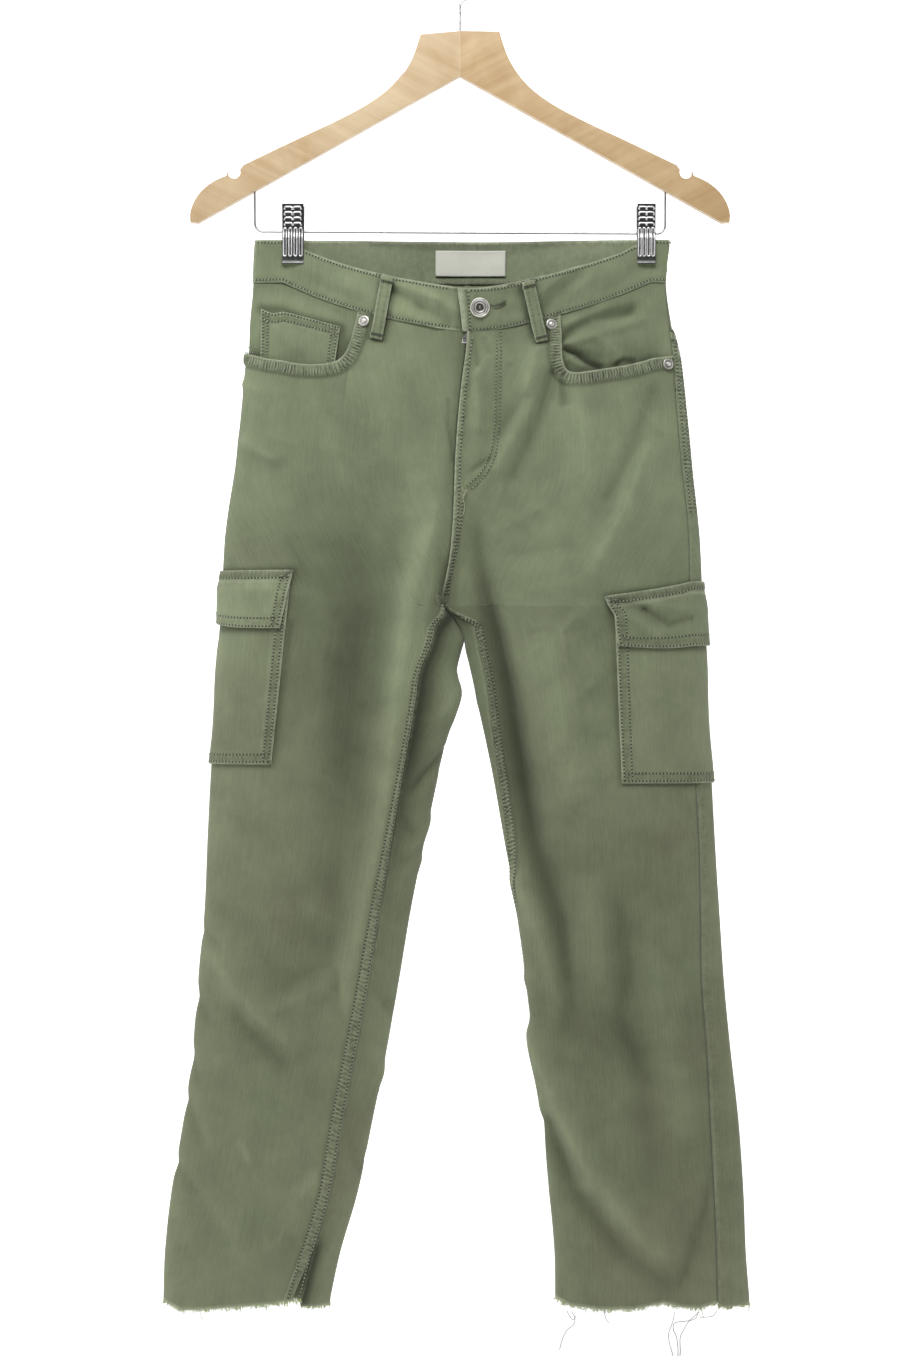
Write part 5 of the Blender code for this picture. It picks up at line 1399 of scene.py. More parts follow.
def cargo_pocket(side):
    """A patch pocket across the outseam."""
    tt, dd = wrap_grid(side, CARGO[side], 72, 78)
    base, normal = cloth_point(side, tt, dd)
    behind, ahead, _, foot = edge_distances(base)
    edge = np.minimum(np.minimum(behind, ahead), foot)
    out = 2.0 + raised(edge, -2, 11.0, 0.4) - 0.5 * fading(edge, 0.8)
    out = out + 0.5 * np.sin(dd * 0.07 + behind * 0.03) * smooth_step(edge, 8, 20)
    seam = raised(edge, -2, 11.0, 0.5)
    along = np.where(foot < np.minimum(behind, ahead), behind, dd) / RIPPLE
    worn = 0.9 * fading(edge, 0.9) + 0.25 * bell(edge, 9.5, 1.0)
    # Painted shadow under the flap and between the stitch rows; the right pocket is made a little lighter
    # overall
    deep = 0.9 * np.exp(-((np.maximum(dd - FLAPS[side][3] + 1, 0) / 5.0) ** 2)) * (dd > FLAPS[side][3] - 4)
    deep = deep + 0.30 * bell(edge, 5, 2.6) - (0.16 if side > 0 else 0.0)
    values = cloth_values(base, dd, seam, along, np.clip(worn, 0, 1), np.clip(deep, -0.3, 1.2))
    cloth_sheet("cargo_pocket_" + side_name(side), base + normal * out[..., None], normal, values, 1.3,
                rounded=0.4)
    for inset in (1.9, 8.4):
        for distance, axis in ((ahead, 0), (foot, 1), (behind, 0)):
            sew_edge("front", base, normal, out, distance, inset, axis, 2)


def cargo_flap(side):
    """The flap over a cargo pocket, with its creases."""
    spec = FLAPS[side]
    tt, dd = wrap_grid(side, spec, 30, 80)
    fall = (dd - spec[2]) / (spec[3] - spec[2])
    last = tt.max(axis=0, keepdims=True)
    ahead = np.maximum(tt, 0) / last
    dd = dd + spec[4] * ahead * (1 - fall) - spec[5] * (1 - ahead) * fall
    dd = dd + 2.0 * np.sin(math.pi * ahead) * fall
    base, normal = cloth_point(side, tt, dd)
    behind, ahead, top, foot = edge_distances(base)
    edge = np.minimum(np.minimum(behind, ahead), foot)
    mouth = CARGO[side][2] - 3.0
    out = 1.4 + 3.3 * smooth_step(dd, spec[2], mouth + 6)
    out = out + raised(top, -2, 8.0, 0.9) - 0.4 * fading(edge, 0.8) + 0.25 * raised(edge, -2, 10, 1)
    x = base[..., 0]
    for x0, d0, x1, d1, width, height in FLAP_CREASES[side]:
        out = out + height * near_line(x, dd, ((x0, d0), (x1, d1)), width) * (tt > 0)
    out = out + 0.5 * np.sin(behind * 0.11) * smooth_step(foot, 0, 12)
    seam = np.maximum(raised(edge, -2, 10.5, 0.42), raised(top, -2, 8.0, 0.6))
    along = np.where(np.minimum(top, foot) < np.minimum(behind, ahead), behind, dd) / RIPPLE
    worn = 0.95 * fading(edge, 1.4) + 0.8 * fading(top, 1.3) + 0.5 * bell(top, 9.5, 1.3)
    # Painted shade in the top strip and between the stitch rows, painted light on the left flap below its top
    # strip, and painted shade and highlight along the creases
    deep = 0.45 * raised(top, 0, 7.5, 1) + 0.3 * bell(edge, 5, 2.6)
    deep = deep - (0.35 if side < 0 else 0.0) * smooth_step(top, 8, 14)
    for x0, d0, x1, d1, width, height in FLAP_CREASES[side]:
        deep = deep - 0.22 * height * near_line(x, dd, ((x0, d0), (x1, d1)), width) * (tt > 0)
    values = cloth_values(base, dd, seam, along, np.clip(worn, 0, 1), np.clip(deep, -0.6, 1))
    cloth_sheet("cargo_flap_" + side_name(side), base + normal * out[..., None], normal, values, 1.5,
                rounded=0.5)
    for inset in (2.0, 8.6):
        for distance, axis in ((ahead, 0), (foot, 1), (behind, 0)):
            sew_edge("front", base, normal, out, distance, inset, axis, 3)
    sew_edge("front", base, normal, out, top, 6.6, 1, 2)


# ---- Fly, label, fringe and stitches ----

def fly_tape():
    """The zip's tape behind the fly edge."""
    rows = np.linspace(304, 428, 50)
    part = np.linspace(-1, 1, 9)
    centre = base_point(1, np.full(rows.shape, 1.0), rows)[:, 0]
    xx = centre[None, :] + part[:, None] * 9.0
    dd = np.broadcast_to(rows, xx.shape)
    point_l, normal_l = cloth_point(-1, t_at(-1, np.minimum(xx, centre), dd), dd)
    point_r, normal_r = cloth_point(1, t_at(1, np.maximum(xx, centre), dd), dd)
    left = (xx < centre)[..., None]
    base, normal = np.where(left, point_l, point_r), np.where(left, normal_l, normal_r)
    cloth_sheet("fly_tape", base - normal * 1.6, normal, cloth_values(base, dd), 0.9)


def label_material():
    made, n, shader = new_material("cream_satin")
    cut = n.add("ShaderNodeAttribute", attribute_name="cut").outputs["Vector"]
    warp = n.noise(n.stretch(cut, (3.2, 0.25, 1)), 1.0, 2.0)
    cloud = n.noise(cut, 0.05, 3.0)
    shade = n.math("ADD", n.span(warp, 0.3, 0.7, 0.96, 1.02), n.span(cloud, 0.3, 0.7, -0.03, 0.03))
    tone = n.add("ShaderNodeHueSaturation", {"Color": (0.69, 0.70, 0.61, 1), "Value": shade})
    n.link(tone.outputs["Color"], shader.inputs["Base Color"])
    shader.inputs["Roughness"].default_value = 0.45
    shader.inputs["Sheen Weight"].default_value = 0.25
    bump(n, shader, warp, 0.0002)
    return made


def label():
    """The woven label inside the back of the waistband; its wording is left off."""
    rows = np.linspace(258.4, 280.4, 20)
    xx, dd = np.meshgrid(np.linspace(-21, 39, 40), rows, indexing="ij")
    centre = centre_x(dd)
    point_l, normal_l = cloth_point(-1, t_at(-1, np.minimum(xx, centre), dd, False), dd)
    point_r, normal_r = cloth_point(1, t_at(1, np.maximum(xx, centre), dd, False), dd)
    left = (xx < centre)[..., None]
    base, normal = np.where(left, point_l, point_r), np.where(left, normal_l, normal_r)
    out = BAND_PROUD - BAND - 1.2 + 0.2 * np.sin(xx * 0.12)
    points = base + normal * out[..., None]
    cloth_sheet("label", points, -normal, cloth_values(base, dd), 0.5, paint=label_material())


def thread_material(name, colour, spread):
    made, n, shader = new_material(name)
    place = n.add("ShaderNodeTexCoord").outputs["Object"]
    shade = n.noise(place, 420.0, 2.0)
    bright = n.span(shade, 0.25, 0.75, 1 - spread, 1 + spread)
    tone = n.add("ShaderNodeHueSaturation", {"Color": colour, "Value": bright})
    n.link(tone.outputs["Color"], shader.inputs["Base Color"])
    shader.inputs["Roughness"].default_value = 0.75
    shader.inputs["Sheen Weight"].default_value = 0.2
    bump(n, shader, n.noise(place, 2600.0, 1.0), 0.0002)
    return made


def stitches():
    """All the rows of stitches, one joined mesh for the front and one for the back. Beside each stitch a
    small near-black disc is painted shadow in its needle hole.
    """
    thread = thread_material("tonal_thread", (0.330, 0.370, 0.250, 1), 0.25)
    hole_shadow = thread_material("needle_hole_shadow", (0.050, 0.058, 0.034, 1), 0.2)
    for layer, rows in NEEDLE.items():
        whole, part = bmesh.new(), bpy.data.meshes.new("row")
        for place, up, ahead, length, thick in rows:
            bm = bmesh.new()
            for centre, normal, along in zip(place, up, ahead):
                along = Vector(along).normalized()
                side = Vector(normal).cross(along).normalized()
                top = along.cross(side)
                turn = Matrix((along * length / 2, side * thick, top * thick * 0.85)).transposed()
                spot = Matrix.Translation(Vector(centre) * MM) @ Matrix.Scale(MM, 4) @ turn.to_4x4()
                bmesh.ops.create_icosphere(bm, subdivisions=1, radius=1.0, matrix=spot)
                turn = Matrix((along * thick * 1.6, side * thick * 1.5, top)).transposed()
                spot = Matrix.Translation((Vector(centre) + along * (length * 0.74) + top * 0.3) * MM)
                spot = spot @ Matrix.Scale(MM, 4) @ turn.to_4x4()
                hole = bmesh.ops.create_circle(bm, cap_ends=True, radius=1.0, segments=6, matrix=spot)
                hole["verts"][0].link_faces[0].material_index = 1
            bm.to_mesh(part)
            bm.free()
            whole.from_mesh(part)
        bpy.data.meshes.remove(part)
        bm, mesh = whole, bpy.data.meshes.new("stitches_" + layer)
        bm.to_mesh(mesh)
        bm.free()
        mesh.shade_smooth()
        mesh.materials.append(thread)
        mesh.materials.append(hole_shadow)
        settle(bpy.data.objects.new("stitches_" + layer, mesh))


def threads(name, lines, radius, paint, nodes=(), resolution=0):
    """Many fine threads as the splines of one curve."""
    curve = bpy.data.curves.new(name, "CURVE")
    curve.dimensions = "3D"
    curve.bevel_depth, curve.bevel_resolution = radius * MM, resolution
    curve.use_fill_caps = True
    for line in lines:
        spline = curve.splines.new("POLY")
        spline.points.add(len(line) - 1)
        for point, place in zip(spline.points, line):
            point.co = (*(np.asarray(place) * MM), 1)
        spline.use_smooth = True
    curve.materials.append(paint)
    return settle(bpy.data.objects.new(name, curve), nodes)


LOWEST = 1198.5
LOOSE_YARNS = (
    ((201, 1158), (199, 1164), (193, 1166), (181, 1168), (180, 1173), (183, 1180), (184, 1196), (182, 1203)),
    ((202, 1158), (193, 1167), (189, 1173), (186, 1180), (186, 1192), (185, 1204)),
    ((217, 1157), (213, 1162), (202, 1163)),
    ((181, 1158), (180, 1166), (176, 1178), (180, 1196)),
    ((94, 1158), (97, 1163), (96, 1169), (90, 1174), (86, 1183), (84, 1190)),
    ((90, 1157), (95, 1165), (98, 1162)),
    ((122, 1158), (123, 1164), (126, 1168)),
)


def fringe():
    """The frayed hems: dense short yarn ends, and a few loose yarns that hang."""
    paint = thread_material("frayed_yarn", (0.46, 0.52, 0.26, 1), 0.3)
    loose = thread_material("loose_yarn", (0.16, 0.15, 0.11, 1), 0.2)
    for side in (-1, 1):
        lines = []
        for end, turned in ((1, False), (-1, True)):
            t = even_t(side, 1145, 0, end, 0.36)
            t = np.clip(t + rng.normal(0, 0.0012, t.shape), -0.999, 0.999)
            start = hem_drop(side, base_point(side, t, np.full(t.shape, HEM))[:, 0], turned) - 1.0
            base, normal = cloth_point(side, t, np.minimum(start, HEM + 9))
            reach = rng.gamma(4.0, 0.36, t.shape) + 1.5
            clump = 1 + 0.3 * np.sin(t * 70 + side) * np.sin(t * 23)
            for k in range(len(t)):
                long = reach[k] * clump[k]
                if rng.random() < 0.004:
                    long += rng.uniform(3, 9)
                lean = rng.normal(0, 0.28)
                out = rng.normal(0, 0.22)
                foot = base[k] - normal[k] * rng.uniform(0.2, 0.9)
                line = [foot]
                for step in (0.35, 0.7, 1.0):
                    bend = step * step
                    fall = np.array((lean * long * bend, 0, -long * step))
                    line.append(foot + fall + normal[k] * out * long * bend)
                lines.append(line)
        if side > 0:
            hanging = [[(x, -19.0 + 0.8 * math.sin(down * 0.4), -down)
                        for x, down in curve_through(path, 24) if down < LOWEST] for path in LOOSE_YARNS]
            threads("loose_yarns", hanging, 0.3, loose, ["fray_right"])
        threads("fringe_" + side_name(side), lines, 0.26, paint, ["fray_" + side_name(side)])


# ---- Metal and wood ----


def metal_group():
    """Plated or worn metal: cloudy tone, fine scratches and darker recesses. The recesses are patina in the
    button's and rivets' grooves, and painted dark reflection on the clip plates' flat faces.
    """
    tree, n, inp, out = new_group(
        "patina_and_painted_reflection_metal",
        [("Metal", "Color", (0.6, 0.6, 0.6, 1)), ("Recess", "Color", (0.15, 0.15, 0.14, 1)),
         ("Polish", "Float", 0.25), ("Wear", "Float", 0.2), ("High", "Float", 1.0)],
        [("Color", "Color"), ("Roughness", "Float"), ("Height", "Float")])
    place = n.add("ShaderNodeTexCoord").outputs["Object"]
    cloud = n.noise(place, 260.0, 3.0, 0.6)
    scratch = n.noise(n.stretch(place, (900, 900, 140)), 1.0, 2.0, 0.7)
    dark = n.span(inp["High"], 0.12, 0.72, 1.0, 0.0)
    grime = n.math("MULTIPLY", n.span(cloud, 0.4, 0.7, 0.0, 1.0), inp["Wear"])
    n.link(n.mix(n.math("ADD", dark, grime, clamp=True), inp["Metal"], inp["Recess"]), out["Color"])
    rough = n.math("ADD", inp["Polish"], n.math("MULTIPLY", n.span(scratch, 0.3, 0.7, -0.06, 0.14), 1.0))
    n.link(n.math("ADD", rough, n.math("MULTIPLY", grime, 0.3), clamp=True), out["Roughness"])
    n.link(n.math("MULTIPLY", scratch, 0.3), out["Height"])
    return tree


METAL = metal_group()


def metal_material(name, metal, recess, polish, wear, raised_by=None):
    """Metal with dark recesses, which an attribute of the piece's height marks. On the clip plates that dark
    colour is a painted reflection.
    """
    made, n, shader = new_material(name)
    high = n.add("ShaderNodeAttribute", attribute_name=raised_by).outputs["Fac"] if raised_by else 1.0
    outs = place_group(n, METAL, {"Metal": metal, "Recess": recess, "Polish": polish, "Wear": wear,
                                  "High": high})
    n.link(outs["Color"], shader.inputs["Base Color"])
    n.link(outs["Roughness"], shader.inputs["Roughness"])
    shader.inputs["Metallic"].default_value = 1.0
    bump(n, shader, outs["Height"], 0.0001, 0.5)
    return made


# The clip plates: the flat face between the ribs is near-black as painted dark reflection
PRESSED = metal_material("pressed_plate", (0.88, 0.88, 0.88, 1), (0.085, 0.088, 0.085, 1), 0.33, 0.10,
                         "relief")
CHROME = metal_material("plated_steel", (0.93, 0.93, 0.93, 1), (0.22, 0.22, 0.23, 1), 0.22, 0.10)
WIRE = metal_material("bright_wire", (0.50, 0.50, 0.50, 1), (0.16, 0.16, 0.16, 1), 0.30, 0.10)
SILVER = metal_material("worn_silver", (0.80, 0.79, 0.74, 1), (0.13, 0.12, 0.10, 1), 0.42, 0.30, "relief")


def wood_group():
    """Varnished maple: long streaks, paler and darker bands across, and short pores."""
    tree, n, inp, out = new_group(
        "maple", [("Lean", "Float", 0.5), ("Pale", "Color", (0.72, 0.54, 0.33, 1)),
                  ("Dark", "Color", (0.56, 0.37, 0.19, 1))],
        [("Color", "Color"), ("Roughness", "Float"), ("Height", "Float")])
    place = n.add("ShaderNodeTexCoord").outputs["Object"]
    turn = n.add("ShaderNodeCombineXYZ", {"Y": inp["Lean"]}).outputs[0]
    along = n.add("ShaderNodeMapping", {"Vector": place, "Rotation": turn}).outputs["Vector"]
    streak = n.noise(n.stretch(along, (9, 60, 150)), 1.0, 4.0, 0.55, 0.5)
    bands = {"Vector": n.stretch(along, (1.6, 6, 15)), "Scale": 1.0, "Distortion": 5.0, "Detail": 3.0,
             "Detail Scale": 1.2}
    rings = n.add("ShaderNodeTexWave", bands, wave_type="BANDS", bands_direction="Z").outputs["Fac"]
    figure = n.noise(n.stretch(place, (16, 10, 12)), 1.0, 3.0, 0.5, 1.5)
    pores = n.noise(n.stretch(along, (120, 900, 900)), 1.0, 2.0, 0.6)
    tone = n.math("ADD", n.span(streak, 0.3, 0.7, 0.0, 0.45), n.span(rings, 0.0, 1.0, 0.0, 0.22))
    tone = n.math("ADD", tone, n.span(figure, 0.3, 0.7, -0.12, 0.42))
    tone = n.math("ADD", tone, n.span(pores, 0.62, 0.8, 0.0, 0.25), clamp=True)
    n.link(n.mix(tone, inp["Pale"], inp["Dark"]), out["Color"])
    n.link(n.span(streak, 0.2, 0.8, 0.42, 0.54), out["Roughness"])
    n.link(n.math("ADD", n.math("MULTIPLY", streak, 0.5), n.math("MULTIPLY", pores, -0.5)), out["Height"])
    return tree


MAPLE = wood_group()
ARM_LEAN = 0.47
MAPLE_TONES = {
    -1: ((0.62, 0.485, 0.305, 1), (0.46, 0.315, 0.165, 1)),
    1: ((0.57, 0.42, 0.235, 1), (0.42, 0.265, 0.12, 1)),
}


def wood_material(side):
    made, n, shader = new_material("varnished_maple_" + side_name(side))
    pale, dark = MAPLE_TONES[side]
    outs = place_group(n, MAPLE, {"Lean": side * ARM_LEAN, "Pale": pale, "Dark": dark})
    n.link(outs["Color"], shader.inputs["Base Color"])
    n.link(outs["Roughness"], shader.inputs["Roughness"])
    shader.inputs["Coat Weight"].default_value = 0.25
    shader.inputs["Coat Roughness"].default_value = 0.28
    bump(n, shader, outs["Height"], 0.0002, 0.6)
    return made


def mesh_piece(name, bm, paint, nodes=(), sharp=40):
    bmesh.ops.recalc_face_normals(bm, faces=bm.faces)
    bmesh.ops.scale(bm, vec=(MM, MM, MM), verts=bm.verts)
    mesh = bpy.data.meshes.new(name)
    bm.to_mesh(mesh)
    bm.free()
    mesh.shade_smooth()
    mesh.set_sharp_from_angle(angle=math.radians(sharp))
    mesh.materials.append(paint)
    return settle(bpy.data.objects.new(name, mesh), nodes)


WOOD_HALF = 6.2
NECK_TOP, NECK_LOW, NECK_SLOPE = 74.0, 112.0, {-1: 2.6, 1: 0.2}
NECK = ((33.5, 74.5), (38.0, 89.0), (43.5, 101.5), (51.5, 113.5), (63.0, 125.3), (80.5, 137.5),
        (105.0, 150.5), (144.5, 169.0), (184.0, 188.0))
NOTCH_X, NOTCH_DROP, NOTCH_RADIUS = 191.7, 194.0, 5.4
END_CAP = ((198.2, 196.8), (209.5, 202.0), (219.5, 210.0), (226.0, 219.5), (229.0, 229.0), (228.8, 236.0))
WOOD_LOW_END = (222.0, 236.4)
BAR_RADIUS, BAR_BEND, UPRIGHT_X = 1.0, 6.8, 174.4
BAR_DROP = {-1: 243.6, 1: 245.4}


def hanger():
    """Two wooden arms glued at the middle, with rounded edges and a notch each."""
    for side in (-1, 1):
        shoulder = curve_through(NECK, 60)
        notch = [(NOTCH_X - NOTCH_RADIUS * math.cos(a), NOTCH_DROP - NOTCH_RADIUS * math.sin(a))
                 for a in np.linspace(math.radians(22), math.radians(-196), 18)]
        notch = [(x, d) for x, d in notch if d > 191.2]
        cap = curve_through(END_CAP, 22)
        outline = [(0.03, NECK_TOP)] + [(x, d) for x, d in shoulder] + notch + [(x, d) for x, d in cap]
        outline += [WOOD_LOW_END, (0.03, NECK_LOW)]
        bm = bmesh.new()
        slope = NECK_SLOPE[side]
        ring = [bm.verts.new((side * x, -WOOD_HALF, -d - slope * max(0.0, 1 - abs(x - 33) / 34) * (d < 110)))
                for x, d in outline]
        face = bm.faces.new(ring)
        extruded = bmesh.ops.extrude_face_region(bm, geom=[face])
        verts = [item for item in extruded["geom"] if isinstance(item, bmesh.types.BMVert)]
        bmesh.ops.translate(bm, vec=(0, 2 * WOOD_HALF, 0), verts=verts)
        bmesh.ops.recalc_face_normals(bm, faces=bm.faces)
        rims = [e for e in bm.edges if abs(e.verts[0].co.y - e.verts[1].co.y) < 1e-6
                and min(abs(v.co.x) for v in e.verts) > 0.3]
        rims += [e for e in bm.edges if abs(e.verts[0].co.y - e.verts[1].co.y) < 1e-6
                 and abs(abs(e.verts[0].co.x) - abs(e.verts[1].co.x)) > 1 and e not in rims]
        bmesh.ops.bevel(bm, geom=rims, offset=2.4, segments=5, profile=0.5, affect="EDGES", material=-1,
                        clamp_overlap=True)
        mesh_piece("arm_" + side_name(side), bm, wood_material(side),
                   ["hanger_" + side_name(side)], 32)


def wire_piece(name, points, radius, paint, nodes, resolution=6):
    return threads(name, [points], radius, paint, nodes, resolution)


HOOK_RADIUS, HOOK_WIRE, HOOK_BEND, HOOK_END = 24.0, 1.4, 8.0, 206


def hook():
    """The shank, its small bend, the round over the rail, and a round tip."""
    centre = -(HOOK_RADIUS - HOOK_WIRE)
    rise = math.sqrt((HOOK_RADIUS + HOOK_BEND) ** 2 - HOOK_BEND**2)
    bend = centre - rise
    meets = math.degrees(math.atan2(-rise, HOOK_BEND))
    path = [(0, 0, -NECK_TOP - 4), (0, 0, -NECK_TOP + 0.3), (0, 0, (bend - NECK_TOP) / 2), (0, 0, bend - 2)]
    for angle in np.radians(np.linspace(180, 180 + meets, 14)):
        path.append((HOOK_BEND + HOOK_BEND * math.cos(angle), 0, bend + HOOK_BEND * math.sin(angle)))
    for angle in np.radians(np.linspace(meets, HOOK_END, 80))[1:]:
        path.append((HOOK_RADIUS * math.cos(angle), 0, centre + HOOK_RADIUS * math.sin(angle)))
    wire_piece("hook_wire", path, HOOK_WIRE, CHROME, ["hook"])
    tip = bmesh.new()
    bmesh.ops.create_uvsphere(tip, u_segments=20, v_segments=12, radius=HOOK_WIRE * 1.12)
    bmesh.ops.translate(tip, vec=path[-1], verts=tip.verts)
    mesh_piece("hook_tip", tip, CHROME)


def bar_at(x):
    return BAR_DROP[-1] + (BAR_DROP[1] - BAR_DROP[-1]) * (x + UPRIGHT_X) / (2 * UPRIGHT_X)


def trouser_bar():
    into_wood = NECK_LOW + (WOOD_LOW_END[1] - NECK_LOW) * (UPRIGHT_X + BAR_RADIUS) / WOOD_LOW_END[0] - 4
    path = [(-UPRIGHT_X, 0, -into_wood)]
    for angle in np.radians(np.linspace(180, 270, 12)):
        path.append((-UPRIGHT_X + BAR_BEND + BAR_BEND * math.cos(angle), 0,
                     -BAR_DROP[-1] + BAR_BEND + BAR_BEND * math.sin(angle)))
    for angle in np.radians(np.linspace(270, 360, 12)):
        path.append((UPRIGHT_X - BAR_BEND + BAR_BEND * math.cos(angle), 0,
                     -BAR_DROP[1] + BAR_BEND + BAR_BEND * math.sin(angle)))
    path.append((UPRIGHT_X, 0, -into_wood))
    wire_piece("bar_wire", path, BAR_RADIUS, WIRE, ["trouser_bar"])


CLIP_TOP, CLIP_LOW, CLIP_PLATE = 221.0, 271.5, 0.8
CLIPS = {-1: (-150.6, -132.8), 1: (150.6, 165.6)}
FLANGE = 5


def band_reach(side, low, high, front):
    """How far the waistband's outside stands from the middle plane between two places across."""
    x = np.linspace(low, high, 12)
    drops = np.linspace(BAND_TOP, CLIP_LOW, 8)
    xx, dd = np.meshgrid(x, drops, indexing="ij")
    points, _ = surface(side, t_at(side, xx, dd, front), dd, BAND_PROUD + 0.45)
    return float(np.abs(points[..., 1]).max())


def clips():
    """Pressed plates with raised ribs and arcs, on a coiled spring round the bar."""
    for side in (-1, 1):
        low, high = CLIPS[side]
        width, pivot = high - low, bar_at((low + high) / 2)
        for way, name in ((-1, "front"), (1, "back")):
            jaw = band_reach(side, low, high, way < 0) + 0.5
            line = ((CLIP_TOP, 9.0), (pivot - 8, 6.9), (pivot, 5.6), (BAND_TOP - 1, jaw + 0.7),
                    (BAND_TOP + 4, jaw), (CLIP_LOW - 3, jaw), (CLIP_LOW, jaw + 0.7))
            rows, columns = (112, 46) if way < 0 else (90, 34)
            fine = curve_through(line, rows)
            across = np.concatenate([-np.linspace(2.6, 0.3, FLANGE), np.linspace(0, width, columns),
                                     width + np.linspace(0.3, 2.6, FLANGE)])
            aa, rr = np.meshgrid(across, np.arange(len(fine)), indexing="ij")
            drop, stand = fine[rr, 0], fine[rr, 1]
            beyond = np.maximum(np.maximum(-aa, aa - width), 0)
            open_foot = 1 - smooth_step(drop, CLIP_LOW - 6, CLIP_LOW - 2)
            fold_in = smooth_step(drop, pivot - 6, pivot + 4) * open_foot
            relief = np.zeros(aa.shape)
            for k in range(4):
                middle = width * (k + 0.5) / 4
                away, _ = line_distance(aa, drop, ((middle, 242.5), (middle, CLIP_LOW - 7.5)))
                relief = np.maximum(relief, bell(away, 1.15, 0.5))
            for column in (0.29, 0.71):
                for k in range(4):
                    level = CLIP_TOP + 4.2 + 4.5 * k
                    middle = width * column
                    away, _ = line_distance(aa, drop, ((middle - 1.8, level), (middle + 1.8, level)))
                    ring_here = bell(away, 1.5, 0.5)
                    relief = np.maximum(relief, ring_here * (drop < level + 0.9))
            stand = stand + 0.75 * relief - np.minimum(beyond * 1.2, 2.6) * (0.25 + 0.75 * fold_in)
            x = low + np.clip(aa, -0.25, width + 0.25)
            points = np.stack([x, way * (stand + CLIP_PLATE), -drop], -1)
            normals = np.zeros(points.shape) + (0, way, 0)
            mesh = grid_mesh("plate", points, normals, {"relief": relief}, PRESSED)
            plate = bpy.data.objects.new("plate_" + side_name(side) + "_" + name, mesh)
            wall = plate.modifiers.new("wall", "SOLIDIFY")
            wall.thickness, wall.offset, wall.use_even_offset = CLIP_PLATE * MM, -1, False
            settle(plate, ["clip_" + side_name(side) + "_" + name])
        middle, coil = (low + high) / 2, []
        for k in range(181):
            turn = 2 * math.pi * 7 * k / 180
            coil.append((middle - 5.2 + 10.4 * k / 180, 3.9 * math.sin(turn), -pivot + 3.9 * math.cos(turn)))
        spring = "clip_" + side_name(side) + "_spring"
        wire_piece("coil_" + side_name(side), coil, 0.55, WIRE, [spring], 3)


def turned(name, centre, axis, profile, nodes, steps=56, paint=None):
    """A piece turned from a profile of radius, height and how bright its relief is."""
    bm = bmesh.new()
    relief = bm.verts.layers.float.new("relief")
    line = [bm.verts.new((radius, 0, height)) for radius, height, _ in profile]
    for vert, (_, _, high) in zip(line, profile):
        vert[relief] = high
    edges = [bm.edges.new(pair) for pair in zip(line, line[1:])]
    bmesh.ops.spin(bm, geom=line + edges, cent=(0, 0, 0), axis=(0, 0, 1), dvec=(0, 0, 0),
                   angle=2 * math.pi, steps=steps, use_merge=True)
    bmesh.ops.remove_doubles(bm, verts=bm.verts, dist=1e-4)
    turn = Vector((0, 0, 1)).rotation_difference(Vector(axis))
    bmesh.ops.rotate(bm, cent=(0, 0, 0), matrix=turn.to_matrix(), verts=bm.verts)
    bmesh.ops.translate(bm, vec=centre, verts=bm.verts)
    return mesh_piece(name, bm, paint or SILVER, nodes, 50)


# The button's middle: x from the centre, and drop. The slider's drop, and how far behind the cloth
BUTTON_X, BUTTON_DROP = 16.2, 267.4
SLIDER_DROP, SLIDER_BEHIND = 295.6, 1.75


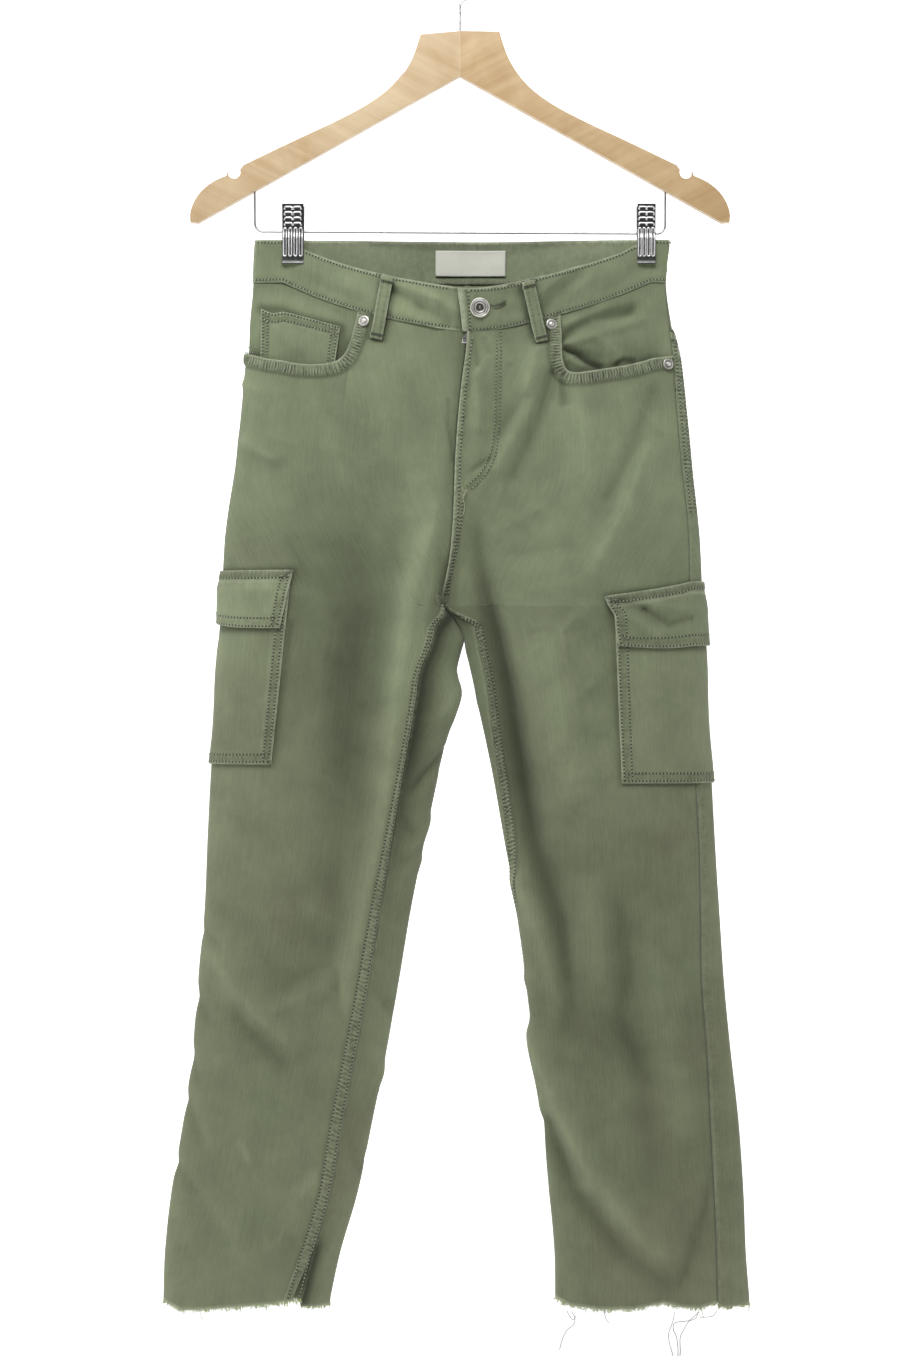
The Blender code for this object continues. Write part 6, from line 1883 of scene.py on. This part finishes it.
def button_and_rivets():
    """The shank button, and a rivet at each end of the two pocket mouths."""
    t = t_at(1, np.array(BUTTON_X), np.array(BUTTON_DROP))
    seat, normal = surface(1, t, np.array(BUTTON_DROP), np.array(BAND_PROUD + 1.5))
    face = ((0, 0, 1), (6.4, 0, 1), (7.9, 0.7, 0.6), (8.35, 1.7, 0.7), (8.2, 2.5, 0.8), (7.7, 2.85, 1),
            (7.2, 2.75, 0.8), (6.8, 2.45, 0.1), (6.4, 2.6, 0.6), (5.9, 2.75, 0.8), (5.4, 2.6, 0.5),
            (5.0, 2.4, 0.1), (4.5, 2.6, 0.6), (4.0, 2.7, 0.7), (3.5, 2.5, 0.5), (3.1, 2.0, 0.1),
            (2.7, 1.3, 0.0), (2.1, 0.9, 0.0),
            (1.5, 1.0, 0.0), (1.0, 1.3, 0.2), (0.5, 1.4, 0.4), (0, 1.4, 0.3))
    turned("jeans_button", seat, normal, face, ["button"])
    cap = ((0, 0, 1), (4.2, 0, 1), (4.6, 0.35, 0.5), (4.5, 0.8, 0.6), (4.0, 1.05, 0.6), (3.3, 1.05, 0.5),
           (2.7, 0.95, 0.4), (2.2, 0.95, 0.3), (1.8, 1.2, 0.6), (1.2, 1.45, 0.9), (0.5, 1.5, 1), (0, 1.5, 1))
    for name, side, x, drop, out in RIVETS:
        t = t_at(side, np.array(float(x)), np.array(float(drop))) if x else np.array(0.13)
        seat, normal = surface(side, t, np.array(float(drop)), np.array(out))
        turned("worn_" + name, seat, normal, cap, [name], 40)


RIVETS = (
    ("rivet_front_left", -1, -80.5, 297.0, 2.2),
    ("rivet_front_right", 1, 76.4, 296.5, 2.2),
    ("rivet_side_left", -1, None, 352.0, 0.5),
    ("rivet_side_right", 1, 175.5, 357.5, 1.9),
)


def zip_slider():
    """The slider behind the fly edge, with its bright corner just showing under the waistband."""
    t = np.array(1.0)
    seat, _ = surface(1, t, np.array(SLIDER_DROP), np.array(-SLIDER_BEHIND))
    bm = bmesh.new()
    bmesh.ops.create_cube(bm, size=1.0)
    bmesh.ops.scale(bm, vec=(8.0, 2.2, 10.0), verts=bm.verts)
    bmesh.ops.bevel(bm, geom=bm.edges[:], offset=0.7, segments=3, profile=0.5, affect="EDGES", material=-1)
    bridge = bmesh.ops.create_cube(bm, size=1.0)["verts"]
    bmesh.ops.scale(bm, vec=(2.6, 1.6, 5.0), verts=bridge)
    bmesh.ops.translate(bm, vec=(0, -1.6, 1.0), verts=bridge)
    bmesh.ops.translate(bm, vec=seat, verts=bm.verts)
    mesh_piece("slider", bm, CHROME, ["zip_slider"], 50)


front_panel(-1)
front_panel(1)
for side in (-1, 1):
    back_panel(side)
    yoke(side)
waistband()
belt_loops()
facings()
coin_pocket()
for side in (-1, 1):
    cargo_pocket(side)
    cargo_flap(side)
fly_tape()
label()
stitches()
fringe()
hanger()
hook()
trouser_bar()
clips()
button_and_rivets()
zip_slider()
